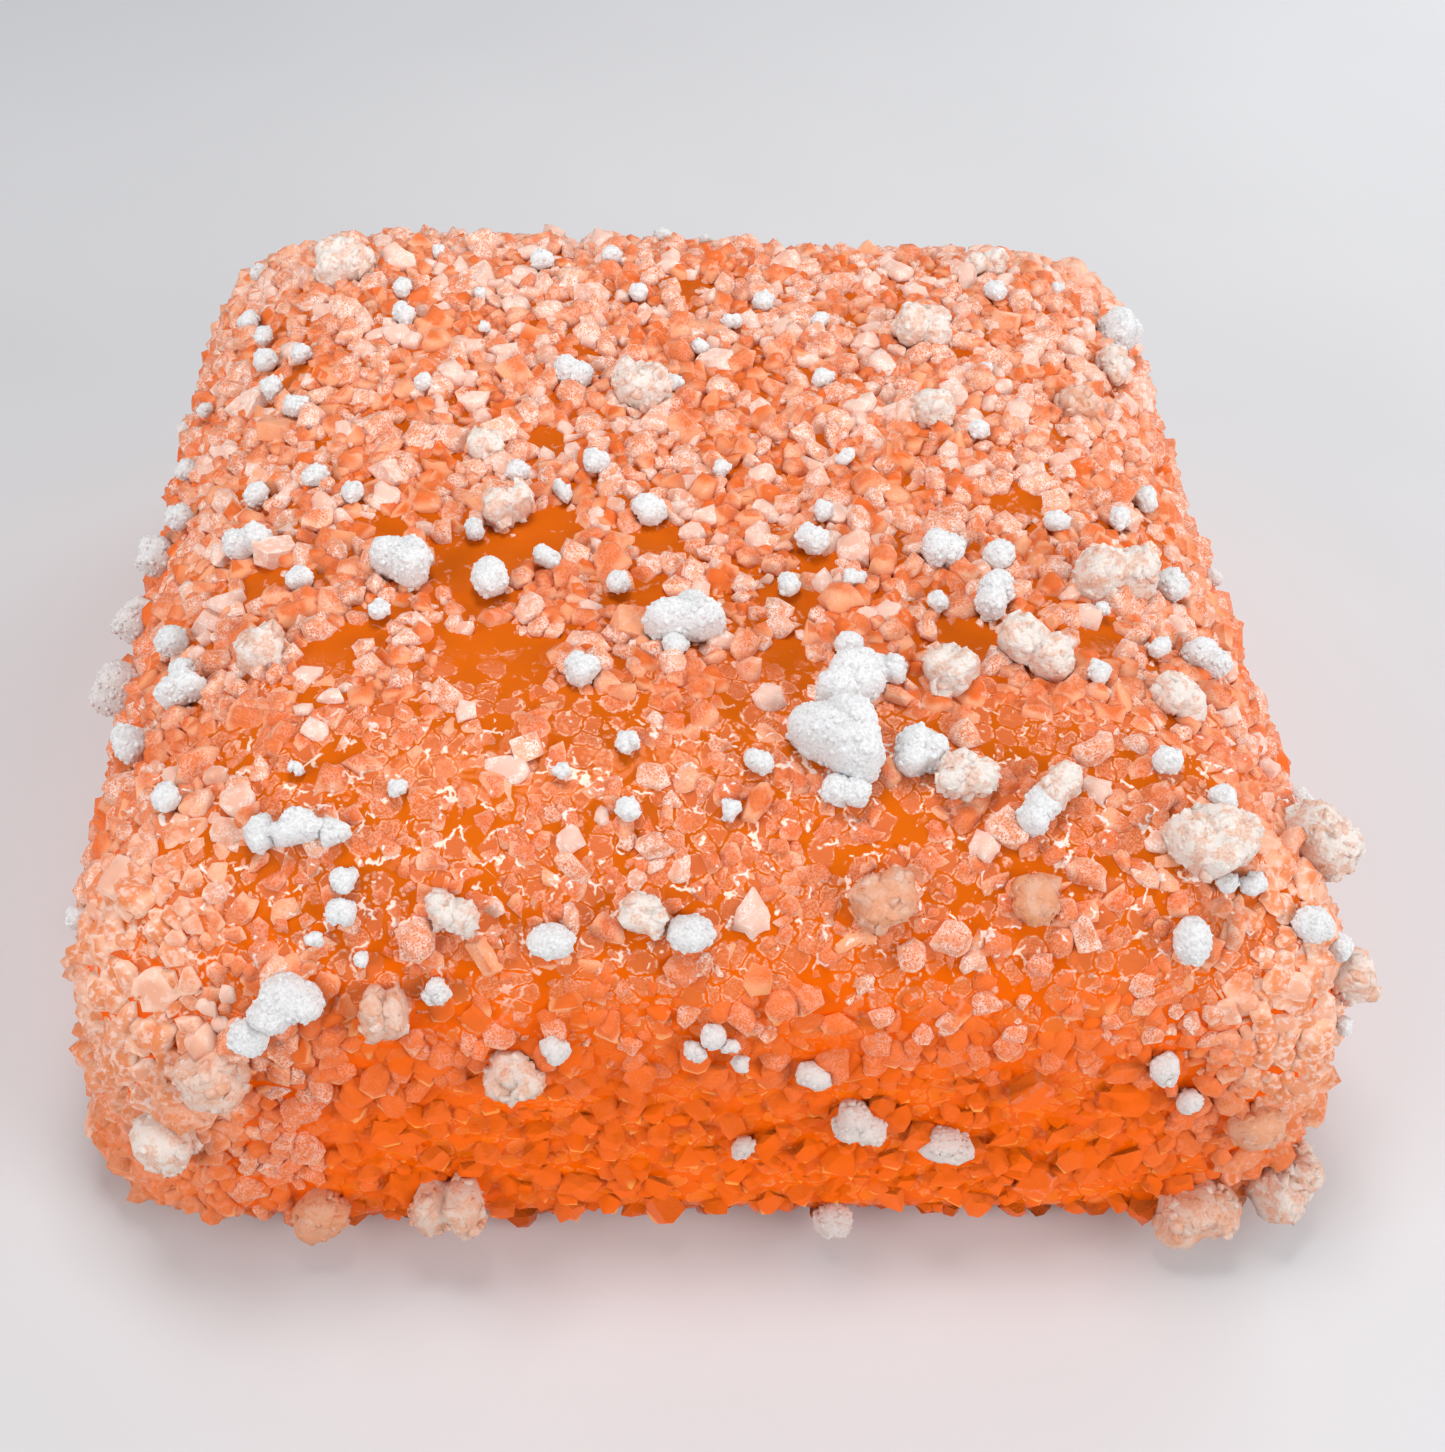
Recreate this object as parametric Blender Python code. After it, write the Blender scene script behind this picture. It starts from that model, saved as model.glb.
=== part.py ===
"""A sugared chewy candy: a square slab of soft orange fruit jelly in a coat of sugar and sour granules.

It is one solid. The skin of the slab follows one formula: a plan outline with softened corners, carried
up a side profile that has a small lower edge and a wide, pillow-like upper edge. The largest granules of
the coat are fused to the skin, and the finer sugar between them is relief.

Frame: the origin is the middle of the underside, +Z is up and -Y is the shown front. All sizes are in
millimetres and are turned to metres in the last step.
"""
import math
import random

import bmesh
import bpy
from mathutils import Matrix, Vector, noise
from mathutils.bvhtree import BVHTree

# Slab, over the fine sugar
WIDTH = 21.9             # at half height, both ways in plan
HEIGHT = 8.95
SHOULDER_HEIGHT = 4.75   # where the side starts to curve over
SHOULDER_REACH = 4.2     # how far in from the side the top goes flat
LOWER_EDGE_RADIUS = 0.9
LEAN = 0.75              # how much narrower each half is at the top than at the underside
RESTING_HALF = 6.0       # half the side of the flat spot that it rests on
ARCH_RISE = 0.22         # how far the underside lifts at the middle of each side
# How square each corner is in plan, by quarter: (sign of X, sign of Y)
CORNER_POWER = {(-1, -1): 9.0, (1, -1): 16.0, (-1, 1): 10.0, (1, 1): 16.0}

# Mesh
CELLS_ACROSS = 22
CELLS_UP = 9
PROFILE_STEPS = 24       # of each rounded edge
SHOULDER_ON_TOP = 0.75   # how much of the wide upper edge is meshed with the top
CAGE_FACE = 0.999        # a vertex of the cage cube beyond this lies on its top or bottom
FLAT = 0.001             # what counts as level or as one plane
SHORTEST_EDGE = 0.004

# Fine sugar shown as relief
GRAIN_RELIEF = 0.2
GRAIN_PITCH = 1.2
SWELL_RELIEF = 0.12
SWELL_PITCH = 7.0
SWELL_OFFSET = Vector((5.0, 0.0, 0.0))

# Even scatter of the larger grains
SCATTER_SEED = 27
SCATTER_COUNT = 120
SCATTER_TRIES = 6000
SCATTER_SPACING = 1.7
SCATTER_SIZE = (0.65, 1.05)
SCATTER_LOWEST = 0.9

# The lumps that stand out: x, y, z near the skin, length, width, turn in plan (degrees)
SOUR_LUMPS = (
    (1.9, -7.0, 8.7, 1.8, 1.2, -40),
    (2.1, -5.9, 8.8, 1.2, 0.9, 15),
    (3.1, -7.2, 8.6, 0.9, 0.8, 20),
    (1.9, -7.9, 8.4, 0.8, 0.6, 0),
    (4.8, -3.8, 8.8, 0.9, 0.7, 50),
    (8.5, -4.6, 8.2, 0.9, 0.6, 0),
    (5.0, -8.1, 8.3, 0.8, 0.7, 30),
    (4.1, -2.6, 8.8, 0.8, 0.7, 0),
    (-0.6, -4.5, 8.8, 1.3, 0.8, 5),
    (-2.5, 2.5, 8.8, 0.8, 0.6, 0),
    (-3.9, -3.5, 8.8, 0.7, 0.8, 0),
    (-5.4, -3.1, 8.8, 1.1, 0.9, -30),
    (-8.2, -2.1, 8.3, 0.9, 0.6, -15),
    (-10.2, -0.3, 6.4, 0.8, 0.7, 90),
    (-10.6, -1.5, 6.0, 0.9, 0.8, 90),
    (-10.7, -3.1, 5.8, 1.1, 0.9, 0),
    (-8.8, -5.3, 7.9, 0.9, 0.6, 0),
    (-9.8, -5.7, 7.0, 0.8, 0.6, 90),
    (-6.7, -8.4, 8.1, 0.9, 0.6, 15),
    (-2.8, -9.7, 7.1, 0.8, 0.7, 0),
    (-0.6, -9.6, 7.1, 0.8, 0.7, 0),
    (-6.8, -10.2, 6.3, 1.2, 0.9, 10),
    (-7.4, -10.4, 5.8, 0.7, 0.6, 0),
    (2.4, -10.8, 3.7, 0.9, 0.7, 0),
    (3.9, -10.8, 3.1, 1.0, 0.6, 0),
    (7.4, -9.6, 7.1, 0.7, 0.8, 0),
    (9.4, -9.4, 7.0, 0.8, 0.6, 0),
    (9.1, 6.0, 7.7, 1.1, 0.9, 40),
)
SUGAR_LUMPS = (
    (7.1, -3.1, 8.7, 1.6, 1.0, 10),
    (5.3, -5.1, 8.8, 1.3, 1.0, 0),
    (7.7, -6.0, 8.5, 0.9, 0.7, 0),
    (5.3, -7.8, 8.4, 0.9, 0.7, 20),
    (3.9, -7.6, 8.5, 1.0, 0.8, 0),
    (3.8, -5.6, 8.8, 0.9, 0.9, -45),
    (7.7, -8.5, 8.0, 1.5, 1.3, 0),
    (9.9, -7.8, 7.1, 1.5, 1.4, 0),
    (-3.7, -1.6, 8.8, 0.9, 0.8, 0),
    (-7.6, -5.0, 8.5, 0.8, 0.8, 0),
    (-4.3, -9.4, 7.4, 0.8, 0.7, 0),
    (-1.3, -9.4, 7.4, 0.8, 0.6, -20),
    (-5.3, -10.3, 6.1, 0.8, 0.9, 0),
    (-8.1, -10.6, 5.0, 1.1, 1.1, 30),
    (-9.0, -10.6, 3.1, 1.1, 0.9, -20),
    (-3.4, -10.6, 5.1, 1.0, 0.7, 0),
    (-4.5, -11.0, 1.6, 1.3, 1.1, 0),
    (-6.7, -11.0, 1.1, 1.1, 0.9, 60),
    (2.5, -9.3, 7.5, 1.1, 0.9, 25),
    (4.9, -9.3, 7.5, 0.8, 0.8, 0),
    (9.3, -10.7, 3.4, 1.0, 0.9, 0),
    (8.7, -10.9, 1.1, 1.6, 1.1, 20),
    (10.3, -10.7, 1.3, 1.4, 1.2, 45),
    (10.3, -9.5, 5.8, 0.9, 0.8, 0),
    (4.6, 4.2, 8.8, 1.2, 1.0, 0),
    (7.5, 2.2, 8.6, 0.8, 0.8, 0),
    (-1.2, 2.1, 8.8, 1.2, 0.9, -20),
)
FINE_LUMP = 1.2          # a lump this long gets more faces
LUMP_ROUGHNESS = 0.16    # of a lump's size
SUNK_SHARE = 0.2         # how far a granule's middle lies above the skin, of its width

JELLY_COLOUR = (0.76, 0.26, 0.10, 1.0)
JELLY_ROUGHNESS = 0.45
UP = Vector((0.0, 0.0, 1.0))
MM_IN_M = 0.001


def side_profile() -> list[tuple[float, float]]:
    """(inset from the widest line, height) from the middle of the underside to the middle of the top."""
    points = [(WIDTH / 2, 0.0)]
    for step in range(PROFILE_STEPS + 1):
        turn = math.pi / 2 * step / PROFILE_STEPS
        radius = LOWER_EDGE_RADIUS
        points.append((radius - radius * math.sin(turn), radius - radius * math.cos(turn)))
    for step in range(PROFILE_STEPS + 1):
        turn = math.pi / 2 * step / PROFILE_STEPS
        rise = HEIGHT - SHOULDER_HEIGHT
        inset = SHOULDER_REACH * (1 - math.cos(turn))
        points.append((inset, SHOULDER_HEIGHT + rise * math.sin(turn)))
    points.append((WIDTH / 2, HEIGHT))
    return points


class Skin:
    """The slab's smooth outer form, as a function of the direction in plan and the travel up the side."""

    def __init__(self) -> None:
        self.points = side_profile()
        self.travel = [0.0]
        for (inset_a, height_a), (inset_b, height_b) in zip(self.points, self.points[1:]):
            self.travel.append(self.travel[-1] + math.hypot(inset_b - inset_a, height_b - height_a))
        self.length = self.travel[-1]

    def profile(self, travel: float) -> tuple[float, float]:
        """The inset and the height after a travel in millimetres from the middle of the underside."""
        for index in range(1, len(self.travel)):
            if travel <= self.travel[index] or index == len(self.travel) - 1:
                span = self.travel[index] - self.travel[index - 1]
                part = (travel - self.travel[index - 1]) / span if span else 0.0
                inset_a, height_a = self.points[index - 1]
                inset_b, height_b = self.points[index]
                return inset_a + (inset_b - inset_a) * part, height_a + (height_b - height_a) * part
        return self.points[-1]

    def place(self, angle: float, travel: float) -> Vector:
        """The point of the skin in a plan direction (radians) after a travel up the profile."""
        inset, height = self.profile(travel)
        half = max(WIDTH / 2 - inset, 0.0)
        lean = LEAN * (0.5 - height / HEIGHT) * min(1.0, half / RESTING_HALF)
        across, along = math.cos(angle), math.sin(angle)
        power = CORNER_POWER[(1 if across >= 0 else -1, 1 if along >= 0 else -1)]
        reach = (half + lean) * (abs(across) ** power + abs(along) ** power) ** (-1 / power)
        outward = max(0.0, half - RESTING_HALF) / (WIDTH / 2 - RESTING_HALF)
        low = max(0.0, 1 - height / (2 * LOWER_EDGE_RADIUS))
        arch = ARCH_RISE * math.cos(2 * angle) ** 2 * outward ** 2 * low
        return Vector((reach * across, reach * along, height + arch))


def slab_mesh(skin: Skin) -> bmesh.types.BMesh:
    """The slab: a cube cut into even cells, laid on the skin and roughened by the fine sugar."""
    bm = bmesh.new()
    bmesh.ops.create_cube(bm, size=2.0)
    for axis, cells in ((0, CELLS_ACROSS), (1, CELLS_ACROSS), (2, CELLS_UP)):
        edges = [e for e in bm.edges if abs(e.verts[0].co[axis] - e.verts[1].co[axis]) > 1.0]
        bmesh.ops.subdivide_edges(bm, edges=edges, cuts=cells - 1, use_grid_fill=True)
    lower = WIDTH / 2 - LOWER_EDGE_RADIUS / 2
    upper = skin.length - (WIDTH / 2 - SHOULDER_REACH) - SHOULDER_REACH * SHOULDER_ON_TOP
    for vert in bm.verts:
        u, v, w = vert.co
        ring = max(abs(u), abs(v))
        if w <= -CAGE_FACE:
            travel = lower * ring
        elif w >= CAGE_FACE:
            travel = skin.length + (upper - skin.length) * ring
        else:
            travel = lower + (upper - lower) * (w + 1) / 2
        vert.co = skin.place(math.atan2(v, u), travel)
    bm.normal_update()
    flat = [vert for vert in bm.verts if vert.co.z < FLAT]
    moves = {}
    for vert in bm.verts:
        fine = noise.noise(vert.co / GRAIN_PITCH) * GRAIN_RELIEF * 2
        swell = noise.noise(vert.co / SWELL_PITCH + SWELL_OFFSET) * SWELL_RELIEF
        fade = min(1.0, vert.co.z / LOWER_EDGE_RADIUS)
        moves[vert] = vert.normal * (fine + swell) * fade
    for vert, move in moves.items():
        vert.co += move
    base_faces = [face for face in bm.faces if all(vert.co.z < FLAT for vert in face.verts)]
    base_edges = {edge for face in base_faces for edge in face.edges}
    bmesh.ops.dissolve_limit(bm, angle_limit=FLAT, verts=flat, edges=list(base_edges))
    return bm


def granule_object(name: str, place: Vector, normal: Vector, size: tuple[float, float], turn: float,
                   faces: int, rng: random.Random, group: bpy.types.Collection) -> None:
    """One granule: a ball of few faces, roughened, drawn to its length and width and set on the skin."""
    bm = bmesh.new()
    bmesh.ops.create_icosphere(bm, subdivisions=faces, radius=0.5)
    for vert in bm.verts:
        vert.co *= 1 + rng.uniform(-LUMP_ROUGHNESS, LUMP_ROUGHNESS)
    length, width = size
    depth = (length + width) / 2
    bmesh.ops.scale(bm, vec=(length, width, depth), verts=bm.verts)
    lay = UP.rotation_difference(normal).to_matrix() @ Matrix.Rotation(turn, 3, "Z")
    bmesh.ops.rotate(bm, matrix=lay, verts=bm.verts)
    bmesh.ops.translate(bm, vec=place + normal * width * SUNK_SHARE, verts=bm.verts)
    mesh = bpy.data.meshes.new(name)
    bm.to_mesh(mesh)
    bm.free()
    group.objects.link(bpy.data.objects.new(name, mesh))


def scattered_places(skin: Skin, taken: list[Vector]) -> list[Vector]:
    """Places on the skin, none nearer another or a lump than the spacing, from a seeded draw."""
    rng = random.Random(SCATTER_SEED)
    places: list[Vector] = []
    low = WIDTH / 2
    for _ in range(SCATTER_TRIES):
        place = skin.place(rng.uniform(-math.pi, math.pi), rng.uniform(low, skin.length))
        if place.z < SCATTER_LOWEST or len(places) == SCATTER_COUNT:
            continue
        if all((place - other).length > SCATTER_SPACING for other in places + taken):
            places.append(place)
    return places


def add_granules(skin: Skin, slab: bmesh.types.BMesh, group: bpy.types.Collection) -> None:
    """The lumps that stand out and the even scatter of larger grains, each its own closed mesh."""
    tree = BVHTree.FromBMesh(slab)
    rng = random.Random(SCATTER_SEED + 1)
    lumps = []
    for x, y, z, length, width, turn in SOUR_LUMPS + SUGAR_LUMPS:
        place, normal, _, _ = tree.find_nearest(Vector((x, y, z)))
        lumps.append(place)
        faces = 2 if length >= FINE_LUMP else 1
        granule_object("lump", place, normal, (length, width), math.radians(turn), faces, rng, group)
    for spot in scattered_places(skin, lumps):
        place, normal, _, _ = tree.find_nearest(spot)
        size = rng.uniform(*SCATTER_SIZE)
        shape = (size, size * rng.uniform(0.75, 1.0))
        granule_object("grain", place, normal, shape, rng.uniform(0, math.pi), 1, rng, group)


def keep_outer_shell(bm: bmesh.types.BMesh) -> None:
    """Fills sealed hollows and drops loose scraps: only the widest connected shell stays."""
    left = set(bm.faces)
    shells = []
    while left:
        shell = {left.pop()}
        front = list(shell)
        while front:
            face = front.pop()
            for edge in face.edges:
                for other in edge.link_faces:
                    if other in left:
                        left.remove(other)
                        shell.add(other)
                        front.append(other)
        shells.append(shell)
    shells.sort(key=len)
    for shell in shells[:-1]:
        bmesh.ops.delete(bm, geom=list(shell), context="FACES")


def sugared_jelly_material() -> bpy.types.Material:
    """Orange fruit jelly under pale sugar."""
    material = bpy.data.materials.new("sugared_jelly")
    material.use_nodes = True
    shader = material.node_tree.nodes["Principled BSDF"]
    shader.inputs["Base Color"].default_value = JELLY_COLOUR
    shader.inputs["Roughness"].default_value = JELLY_ROUGHNESS
    shader.inputs["Metallic"].default_value = 0.0
    return material


def main() -> None:
    """Builds the slab, fuses its granules by one union and leaves the one finished object."""
    for old in list(bpy.data.objects):
        bpy.data.objects.remove(old, do_unlink=True)
    candy = bpy.data.collections.new("chewy_candy")
    granules = bpy.data.collections.new("granules")
    bpy.context.scene.collection.children.link(candy)
    bpy.context.scene.collection.children.link(granules)

    skin = Skin()
    slab = slab_mesh(skin)
    add_granules(skin, slab, granules)
    mesh = bpy.data.meshes.new("gummy_slab")
    slab.to_mesh(mesh)
    slab.free()
    body = bpy.data.objects.new("gummy_slab", mesh)
    candy.objects.link(body)

    union = body.modifiers.new("fused_granules", "BOOLEAN")
    union.operation = "UNION"
    union.operand_type = "COLLECTION"
    union.collection = granules
    union.solver = "EXACT"
    fused = bpy.data.meshes.new_from_object(body.evaluated_get(bpy.context.evaluated_depsgraph_get()))
    body.modifiers.clear()
    for granule in list(granules.objects):
        bpy.data.objects.remove(granule, do_unlink=True)
    bpy.data.collections.remove(granules)

    bm = bmesh.new()
    bm.from_mesh(fused)
    keep_outer_shell(bm)
    bmesh.ops.dissolve_degenerate(bm, dist=SHORTEST_EDGE, edges=bm.edges)
    bmesh.ops.triangulate(bm, faces=bm.faces)
    bmesh.ops.scale(bm, vec=(MM_IN_M, MM_IN_M, MM_IN_M), verts=bm.verts)
    bm.to_mesh(fused)
    bm.free()
    body.data = fused
    body.data.materials.clear()
    body.data.materials.append(sugared_jelly_material())


main()
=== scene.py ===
"""The looks of a sugared chewy candy.

A square slab of orange fruit jelly carries a coat of cleaved sugar crystals, some dry and frosted and some
sunk in the wet film of the jelly, with matt white sour granules and pale sugar lumps on top. All sizes are
in millimetres until a mesh is written; the frame is that of the solid, with the front side at -Y.
"""

import logging
import math
import random
from collections import defaultdict
from dataclasses import dataclass, field
from enum import Enum
from itertools import product
from typing import NamedTuple

import bmesh
import bpy
import numpy as np
from mathutils import Matrix, Vector, noise
from mathutils.kdtree import KDTree


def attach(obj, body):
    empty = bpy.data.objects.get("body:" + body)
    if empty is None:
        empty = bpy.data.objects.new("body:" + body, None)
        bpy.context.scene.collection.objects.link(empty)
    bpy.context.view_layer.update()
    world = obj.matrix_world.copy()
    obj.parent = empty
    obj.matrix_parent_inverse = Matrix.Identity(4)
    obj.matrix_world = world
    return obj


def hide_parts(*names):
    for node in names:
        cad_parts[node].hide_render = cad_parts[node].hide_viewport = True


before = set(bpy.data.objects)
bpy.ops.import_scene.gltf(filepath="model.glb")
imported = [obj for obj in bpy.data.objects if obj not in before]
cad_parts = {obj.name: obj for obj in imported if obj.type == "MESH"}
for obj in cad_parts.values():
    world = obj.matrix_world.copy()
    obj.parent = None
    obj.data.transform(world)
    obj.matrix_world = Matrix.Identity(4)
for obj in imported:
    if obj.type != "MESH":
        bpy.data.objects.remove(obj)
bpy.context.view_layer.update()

Array = np.ndarray
Ends = tuple[float, float]    # the two ends of a range
Triple = tuple[float, float, float]
Socket = bpy.types.NodeSocket

LOG = logging.getLogger("chewy_candy")
MM = 0.001
TINY = 1e-9                   # keeps a division by a length from failing
SOLID_NODE = "gummy_slab"
PICTURE_HIGH = 1452           # pixels, the long side of the picture
UP = Vector((0.0, 0.0, 1.0))


class Ramp(NamedTuple):
    """A curved step: what a value turns to over a range, and stays at beyond its ends."""

    start: float
    end: float
    low: float = 0.0
    high: float = 1.0

    def at(self, value: Array) -> Array:
        """What values turn to."""
        part = np.clip((value - self.start) / (self.end - self.start), 0.0, 1.0)
        return self.low + (self.high - self.low) * part * part * (3 - 2 * part)


class Noise(NamedTuple):
    """Solid noise: the width of its swells, how many finer octaves it has and how strong they are."""

    swell_mm: float
    finer: float = 2.0
    roughness: float = 0.5


class Relief(NamedTuple):
    """Relief that is too fine for the mesh: how deep it is and how strongly it shows."""

    depth_mm: float
    strength: float = 1.0


# ----------------------------------------------------------------------------------------------- finishes

def linear(code: str) -> tuple[float, float, float, float]:
    """Turns an sRGB hex colour, such as "#FFD0AC", to linear red, green and blue and an alpha of 1."""
    parts = [int(code[place:place + 2], 16) / 255 for place in (1, 3, 5)]
    curved = [part / 12.92 if part <= 0.04045 else ((part + 0.055) / 1.055) ** 2.4 for part in parts]
    return (*curved, 1.0)


def add_node(tree: bpy.types.NodeTree, kind: str, inputs: dict, **settings) -> bpy.types.Node:
    """Adds a shader node.

    Args:
        tree: the node tree that it joins.
        kind: its type, such as "TexNoise".
        inputs: by socket name or number, a value, a hex colour or the output socket that feeds it.
        settings: the node's own properties.
    Returns:
        The new node.
    """
    made = tree.nodes.new("ShaderNode" + kind)
    for name, value in settings.items():
        setattr(made, name, value)
    for name, value in inputs.items():
        if isinstance(value, Socket):
            tree.links.new(value, made.inputs[name])
        else:
            made.inputs[name].default_value = linear(value) if isinstance(value, str) else value
    return made


class Finish:
    """A material in the making, with the steps that the finishes share."""

    crooks = 3.0                          # how many times the walls of a cell turn in its width
    thread_mm = 0.5                       # how far apart the painted reflection glints run, as threads
    thread_bend = 0.45
    thread_edge = Ramp(0.025, 0.07, 1.0, 0.0)
    thread_noise = Noise(0.35, 2.0, 0.7)
    thread_kept = Ramp(0.545, 0.6)

    def __init__(self, name: str) -> None:
        """Starts an empty material, named for what it is."""
        self.material = bpy.data.materials.new(name)
        self.material.use_nodes = True
        self.material.node_tree.nodes.clear()

    def node(self, kind: str, inputs: dict, **settings) -> bpy.types.Node:
        """Adds a node to the material; see add_node."""
        return add_node(self.material.node_tree, kind, inputs, **settings)

    def where(self) -> Socket:
        """The place, in the object's own coordinates."""
        return self.node("TexCoord", {}).outputs["Object"]

    def value(self, name: str) -> Socket:
        """The value of a mesh attribute, by its name."""
        return self.node("Attribute", {}, attribute_name=name).outputs["Fac"]

    def noise(self, noise: Noise) -> Socket:
        """Solid noise, from 0 to 1."""
        return self.node("TexNoise", {"Vector": self.where(), "Scale": 1 / (noise.swell_mm * MM),
                                      "Detail": noise.finer, "Roughness": noise.roughness}).outputs["Fac"]

    def blend(self, share: Socket, first: Socket | str, second: Socket | str) -> Socket:
        """Mixes two colours, by the share of the second."""
        return self.node("Mix", {"Factor": share, 6: first, 7: second}, data_type="RGBA").outputs[2]

    def ramp(self, value: Socket, ramp: Ramp) -> Socket:
        """Takes a value through a curved step."""
        ends = zip(("From Min", "From Max", "To Min", "To Max"), ramp)
        return self.node("MapRange", {"Value": value, **dict(ends)}, interpolation_type="SMOOTHSTEP"
                         ).outputs["Result"]

    def times(self, *values: Socket, operation: str = "MULTIPLY") -> Socket:
        """The product of some values, or what another operation of two makes of them."""
        result, *others = values
        for other in others:
            result = self.node("Math", {0: result, 1: other}, operation=operation).outputs[0]
        return result

    def most(self, *values: Socket) -> Socket:
        """The greatest of some values."""
        return self.times(*values, operation="MAXIMUM")

    def cells(self, cell_mm: float, feature: str, bend: float) -> bpy.types.Node:
        """Solid cells with crooked walls.

        Args:
            cell_mm: the width of one cell.
            feature: which distance the texture gives, by its own name for it.
            bend: how crooked the walls are, as a share of the width.
        Returns:
            The texture node.
        """
        where, scale = self.where(), 1 / (cell_mm * MM)
        crook = self.node("TexNoise", {"Vector": where, "Scale": self.crooks * scale, "Detail": 2.0})
        bent = self.node("VectorMath", {0: crook.outputs["Color"], 1: (bend / scale,) * 3, 2: where},
                         operation="MULTIPLY_ADD")
        return self.node("TexVoronoi", {"Vector": bent.outputs[0], "Scale": scale}, feature=feature)

    def threads(self, share: Socket) -> Socket:
        """Painted reflection glints: jagged lines between the grains, by how many of them are kept."""
        cells = self.cells(self.thread_mm, "DISTANCE_TO_EDGE", self.thread_bend)
        return self.times(self.ramp(cells.outputs["Distance"], self.thread_edge),
                          self.ramp(self.noise(self.thread_noise), self.thread_kept), share)

    def bump(self, height: Socket, relief: Relief) -> Socket:
        """The normal of a surface with relief that is too fine for the mesh."""
        return self.node("Bump", {"Strength": relief.strength, "Distance": relief.depth_mm * MM,
                                  "Height": height}).outputs["Normal"]

    def done(self, **sockets) -> bpy.types.Material:
        """Ends the material with one Principled shader, by its sockets' names with _ for a space."""
        named = {name.replace("_", " "): value for name, value in sockets.items()}
        self.node("OutputMaterial", {"Surface": self.node("BsdfPrincipled", named).outputs["BSDF"]})
        return self.material


@dataclass(frozen=True)
class WetFruitJelly:
    """Pectin jelly, poured and cut, with a wet film of syrup.

    It gives the eye a deep, even orange under a clear glossy skin with small dimples. A brighter orange is
    painted on the lower sides and where syrup soaks the coat, as glow of light through the jelly; grains that
    the film has covered show as ghosts in it, with painted rim highlights; and jagged pale lines are painted
    reflections of the lamp in the wet film.
    """

    body: str = "#CE5E0A"
    deep: str = "#C25808"
    # painted glow of light through the jelly, for the lower sides
    side_glow: str = "#F06000"
    # the colour of the painted reflection glints, in threads
    paled: str = "#FAD9C6"
    ghost: str = "#CE6838"
    # painted glow of ghosts where syrup soaks the coat; next, their painted rim highlight, also their crackle
    ghost_glow: str = "#F67408"
    ghost_highlight_and_crackle: str = "#F2B698"
    syrup: str = "#FFD0AC"                # what the film does to the colour of a reflection
    roughness: float = 0.14
    gloss: float = 0.16
    ior: float = 1.42
    dimples: Noise = Noise(0.45, 2.0, 0.6)
    dimple_relief: Relief = Relief(0.05)
    clouds: Noise = Noise(2.5, 3.0)
    cloud: Ramp = Ramp(0.35, 0.7)
    ghost_mm: float = 0.4
    ghost_bend: float = 0.3
    film: Ramp = Ramp(0.05, 0.4)          # ghosts come as the film gets deeper
    luck: Ramp = Ramp(0.08, 0.2)          # and most cells have one,
    reach: Ramp = Ramp(0.62, 0.68, 1.0, 0.0)   # out to here from its middle
    gap: Ramp = Ramp(0.03, 0.06)          # and to here from the next cell
    # where the painted highlight on a ghost's rim lies, and which parts of it are kept
    rim_reach: Ramp = Ramp(0.5, 0.62)
    rim_gap: Ramp = Ramp(0.06, 0.14, 1.0, 0.0)
    rim_noise: Noise = Noise(0.12, 2.0, 0.7)
    rim_kept: Ramp = Ramp(0.44, 0.58)
    grit_noise: Noise = Noise(0.04, 3.0, 0.75)
    grit: Ramp = Ramp(0.46, 0.56, 0.0, 0.5)
    grit_luck: Ramp = Ramp(0.3, 0.8)
    pale_soak: Ramp = Ramp(0.0, 1.0, 0.75, 0.25)

    def material(self) -> bpy.types.Material:
        """Builds the finish."""
        finish = Finish("wet_fruit_jelly")
        cloud = finish.ramp(finish.noise(self.clouds), self.cloud)
        colour = finish.blend(cloud, self.deep, self.body)
        # painted glow: a brighter orange on the lower sides, as light through the jelly
        colour = finish.blend(finish.value("flank"), colour, self.side_glow)
        colour = self.ghosts(finish, colour, finish.value("soak_and_painted_light"))
        # painted reflection glints of the lamp in the wet film, as pale threads
        colour = finish.blend(finish.threads(finish.value("glint_share")), colour, self.paled)
        return finish.done(
            Base_Color=colour, Roughness=self.roughness, IOR=self.ior,
            Specular_IOR_Level=self.gloss, Specular_Tint=self.syrup,
            Normal=finish.bump(finish.noise(self.dimples), self.dimple_relief))

    def ghosts(self, finish: Finish, colour: Socket, soak_and_painted_light: Socket) -> Socket:
        """Lays the ghosts of grains that the film has covered over a colour."""
        cells = finish.cells(self.ghost_mm, "F1", self.ghost_bend)
        away = cells.outputs["Distance"]
        wall = finish.cells(self.ghost_mm, "DISTANCE_TO_EDGE", self.ghost_bend).outputs["Distance"]
        luck = finish.node("SeparateColor", {"Color": cells.outputs["Color"]}).outputs
        inside = finish.times(
            finish.ramp(away, self.reach), finish.ramp(wall, self.gap),
            finish.ramp(finish.value("film"), self.film), finish.ramp(luck["Red"], self.luck))
        # ghosts where syrup soaks the coat take a painted glow
        colour = finish.blend(inside, colour, finish.blend(soak_and_painted_light, self.ghost, self.ghost_glow))
        # painted highlights along the rims of the ghosts
        rim = finish.times(
            finish.most(finish.ramp(away, self.rim_reach), finish.ramp(wall, self.rim_gap)),
            finish.ramp(finish.noise(self.rim_noise), self.rim_kept))
        grit = finish.times(finish.ramp(finish.noise(self.grit_noise), self.grit),
                            finish.ramp(luck["Green"], self.grit_luck))
        # the painted rim highlight and the real crackle, fainter where the painted glow is
        pale = finish.times(finish.most(rim, grit), inside, finish.ramp(soak_and_painted_light, self.pale_soak))
        return finish.blend(pale, colour, self.ghost_highlight_and_crackle)


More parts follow.
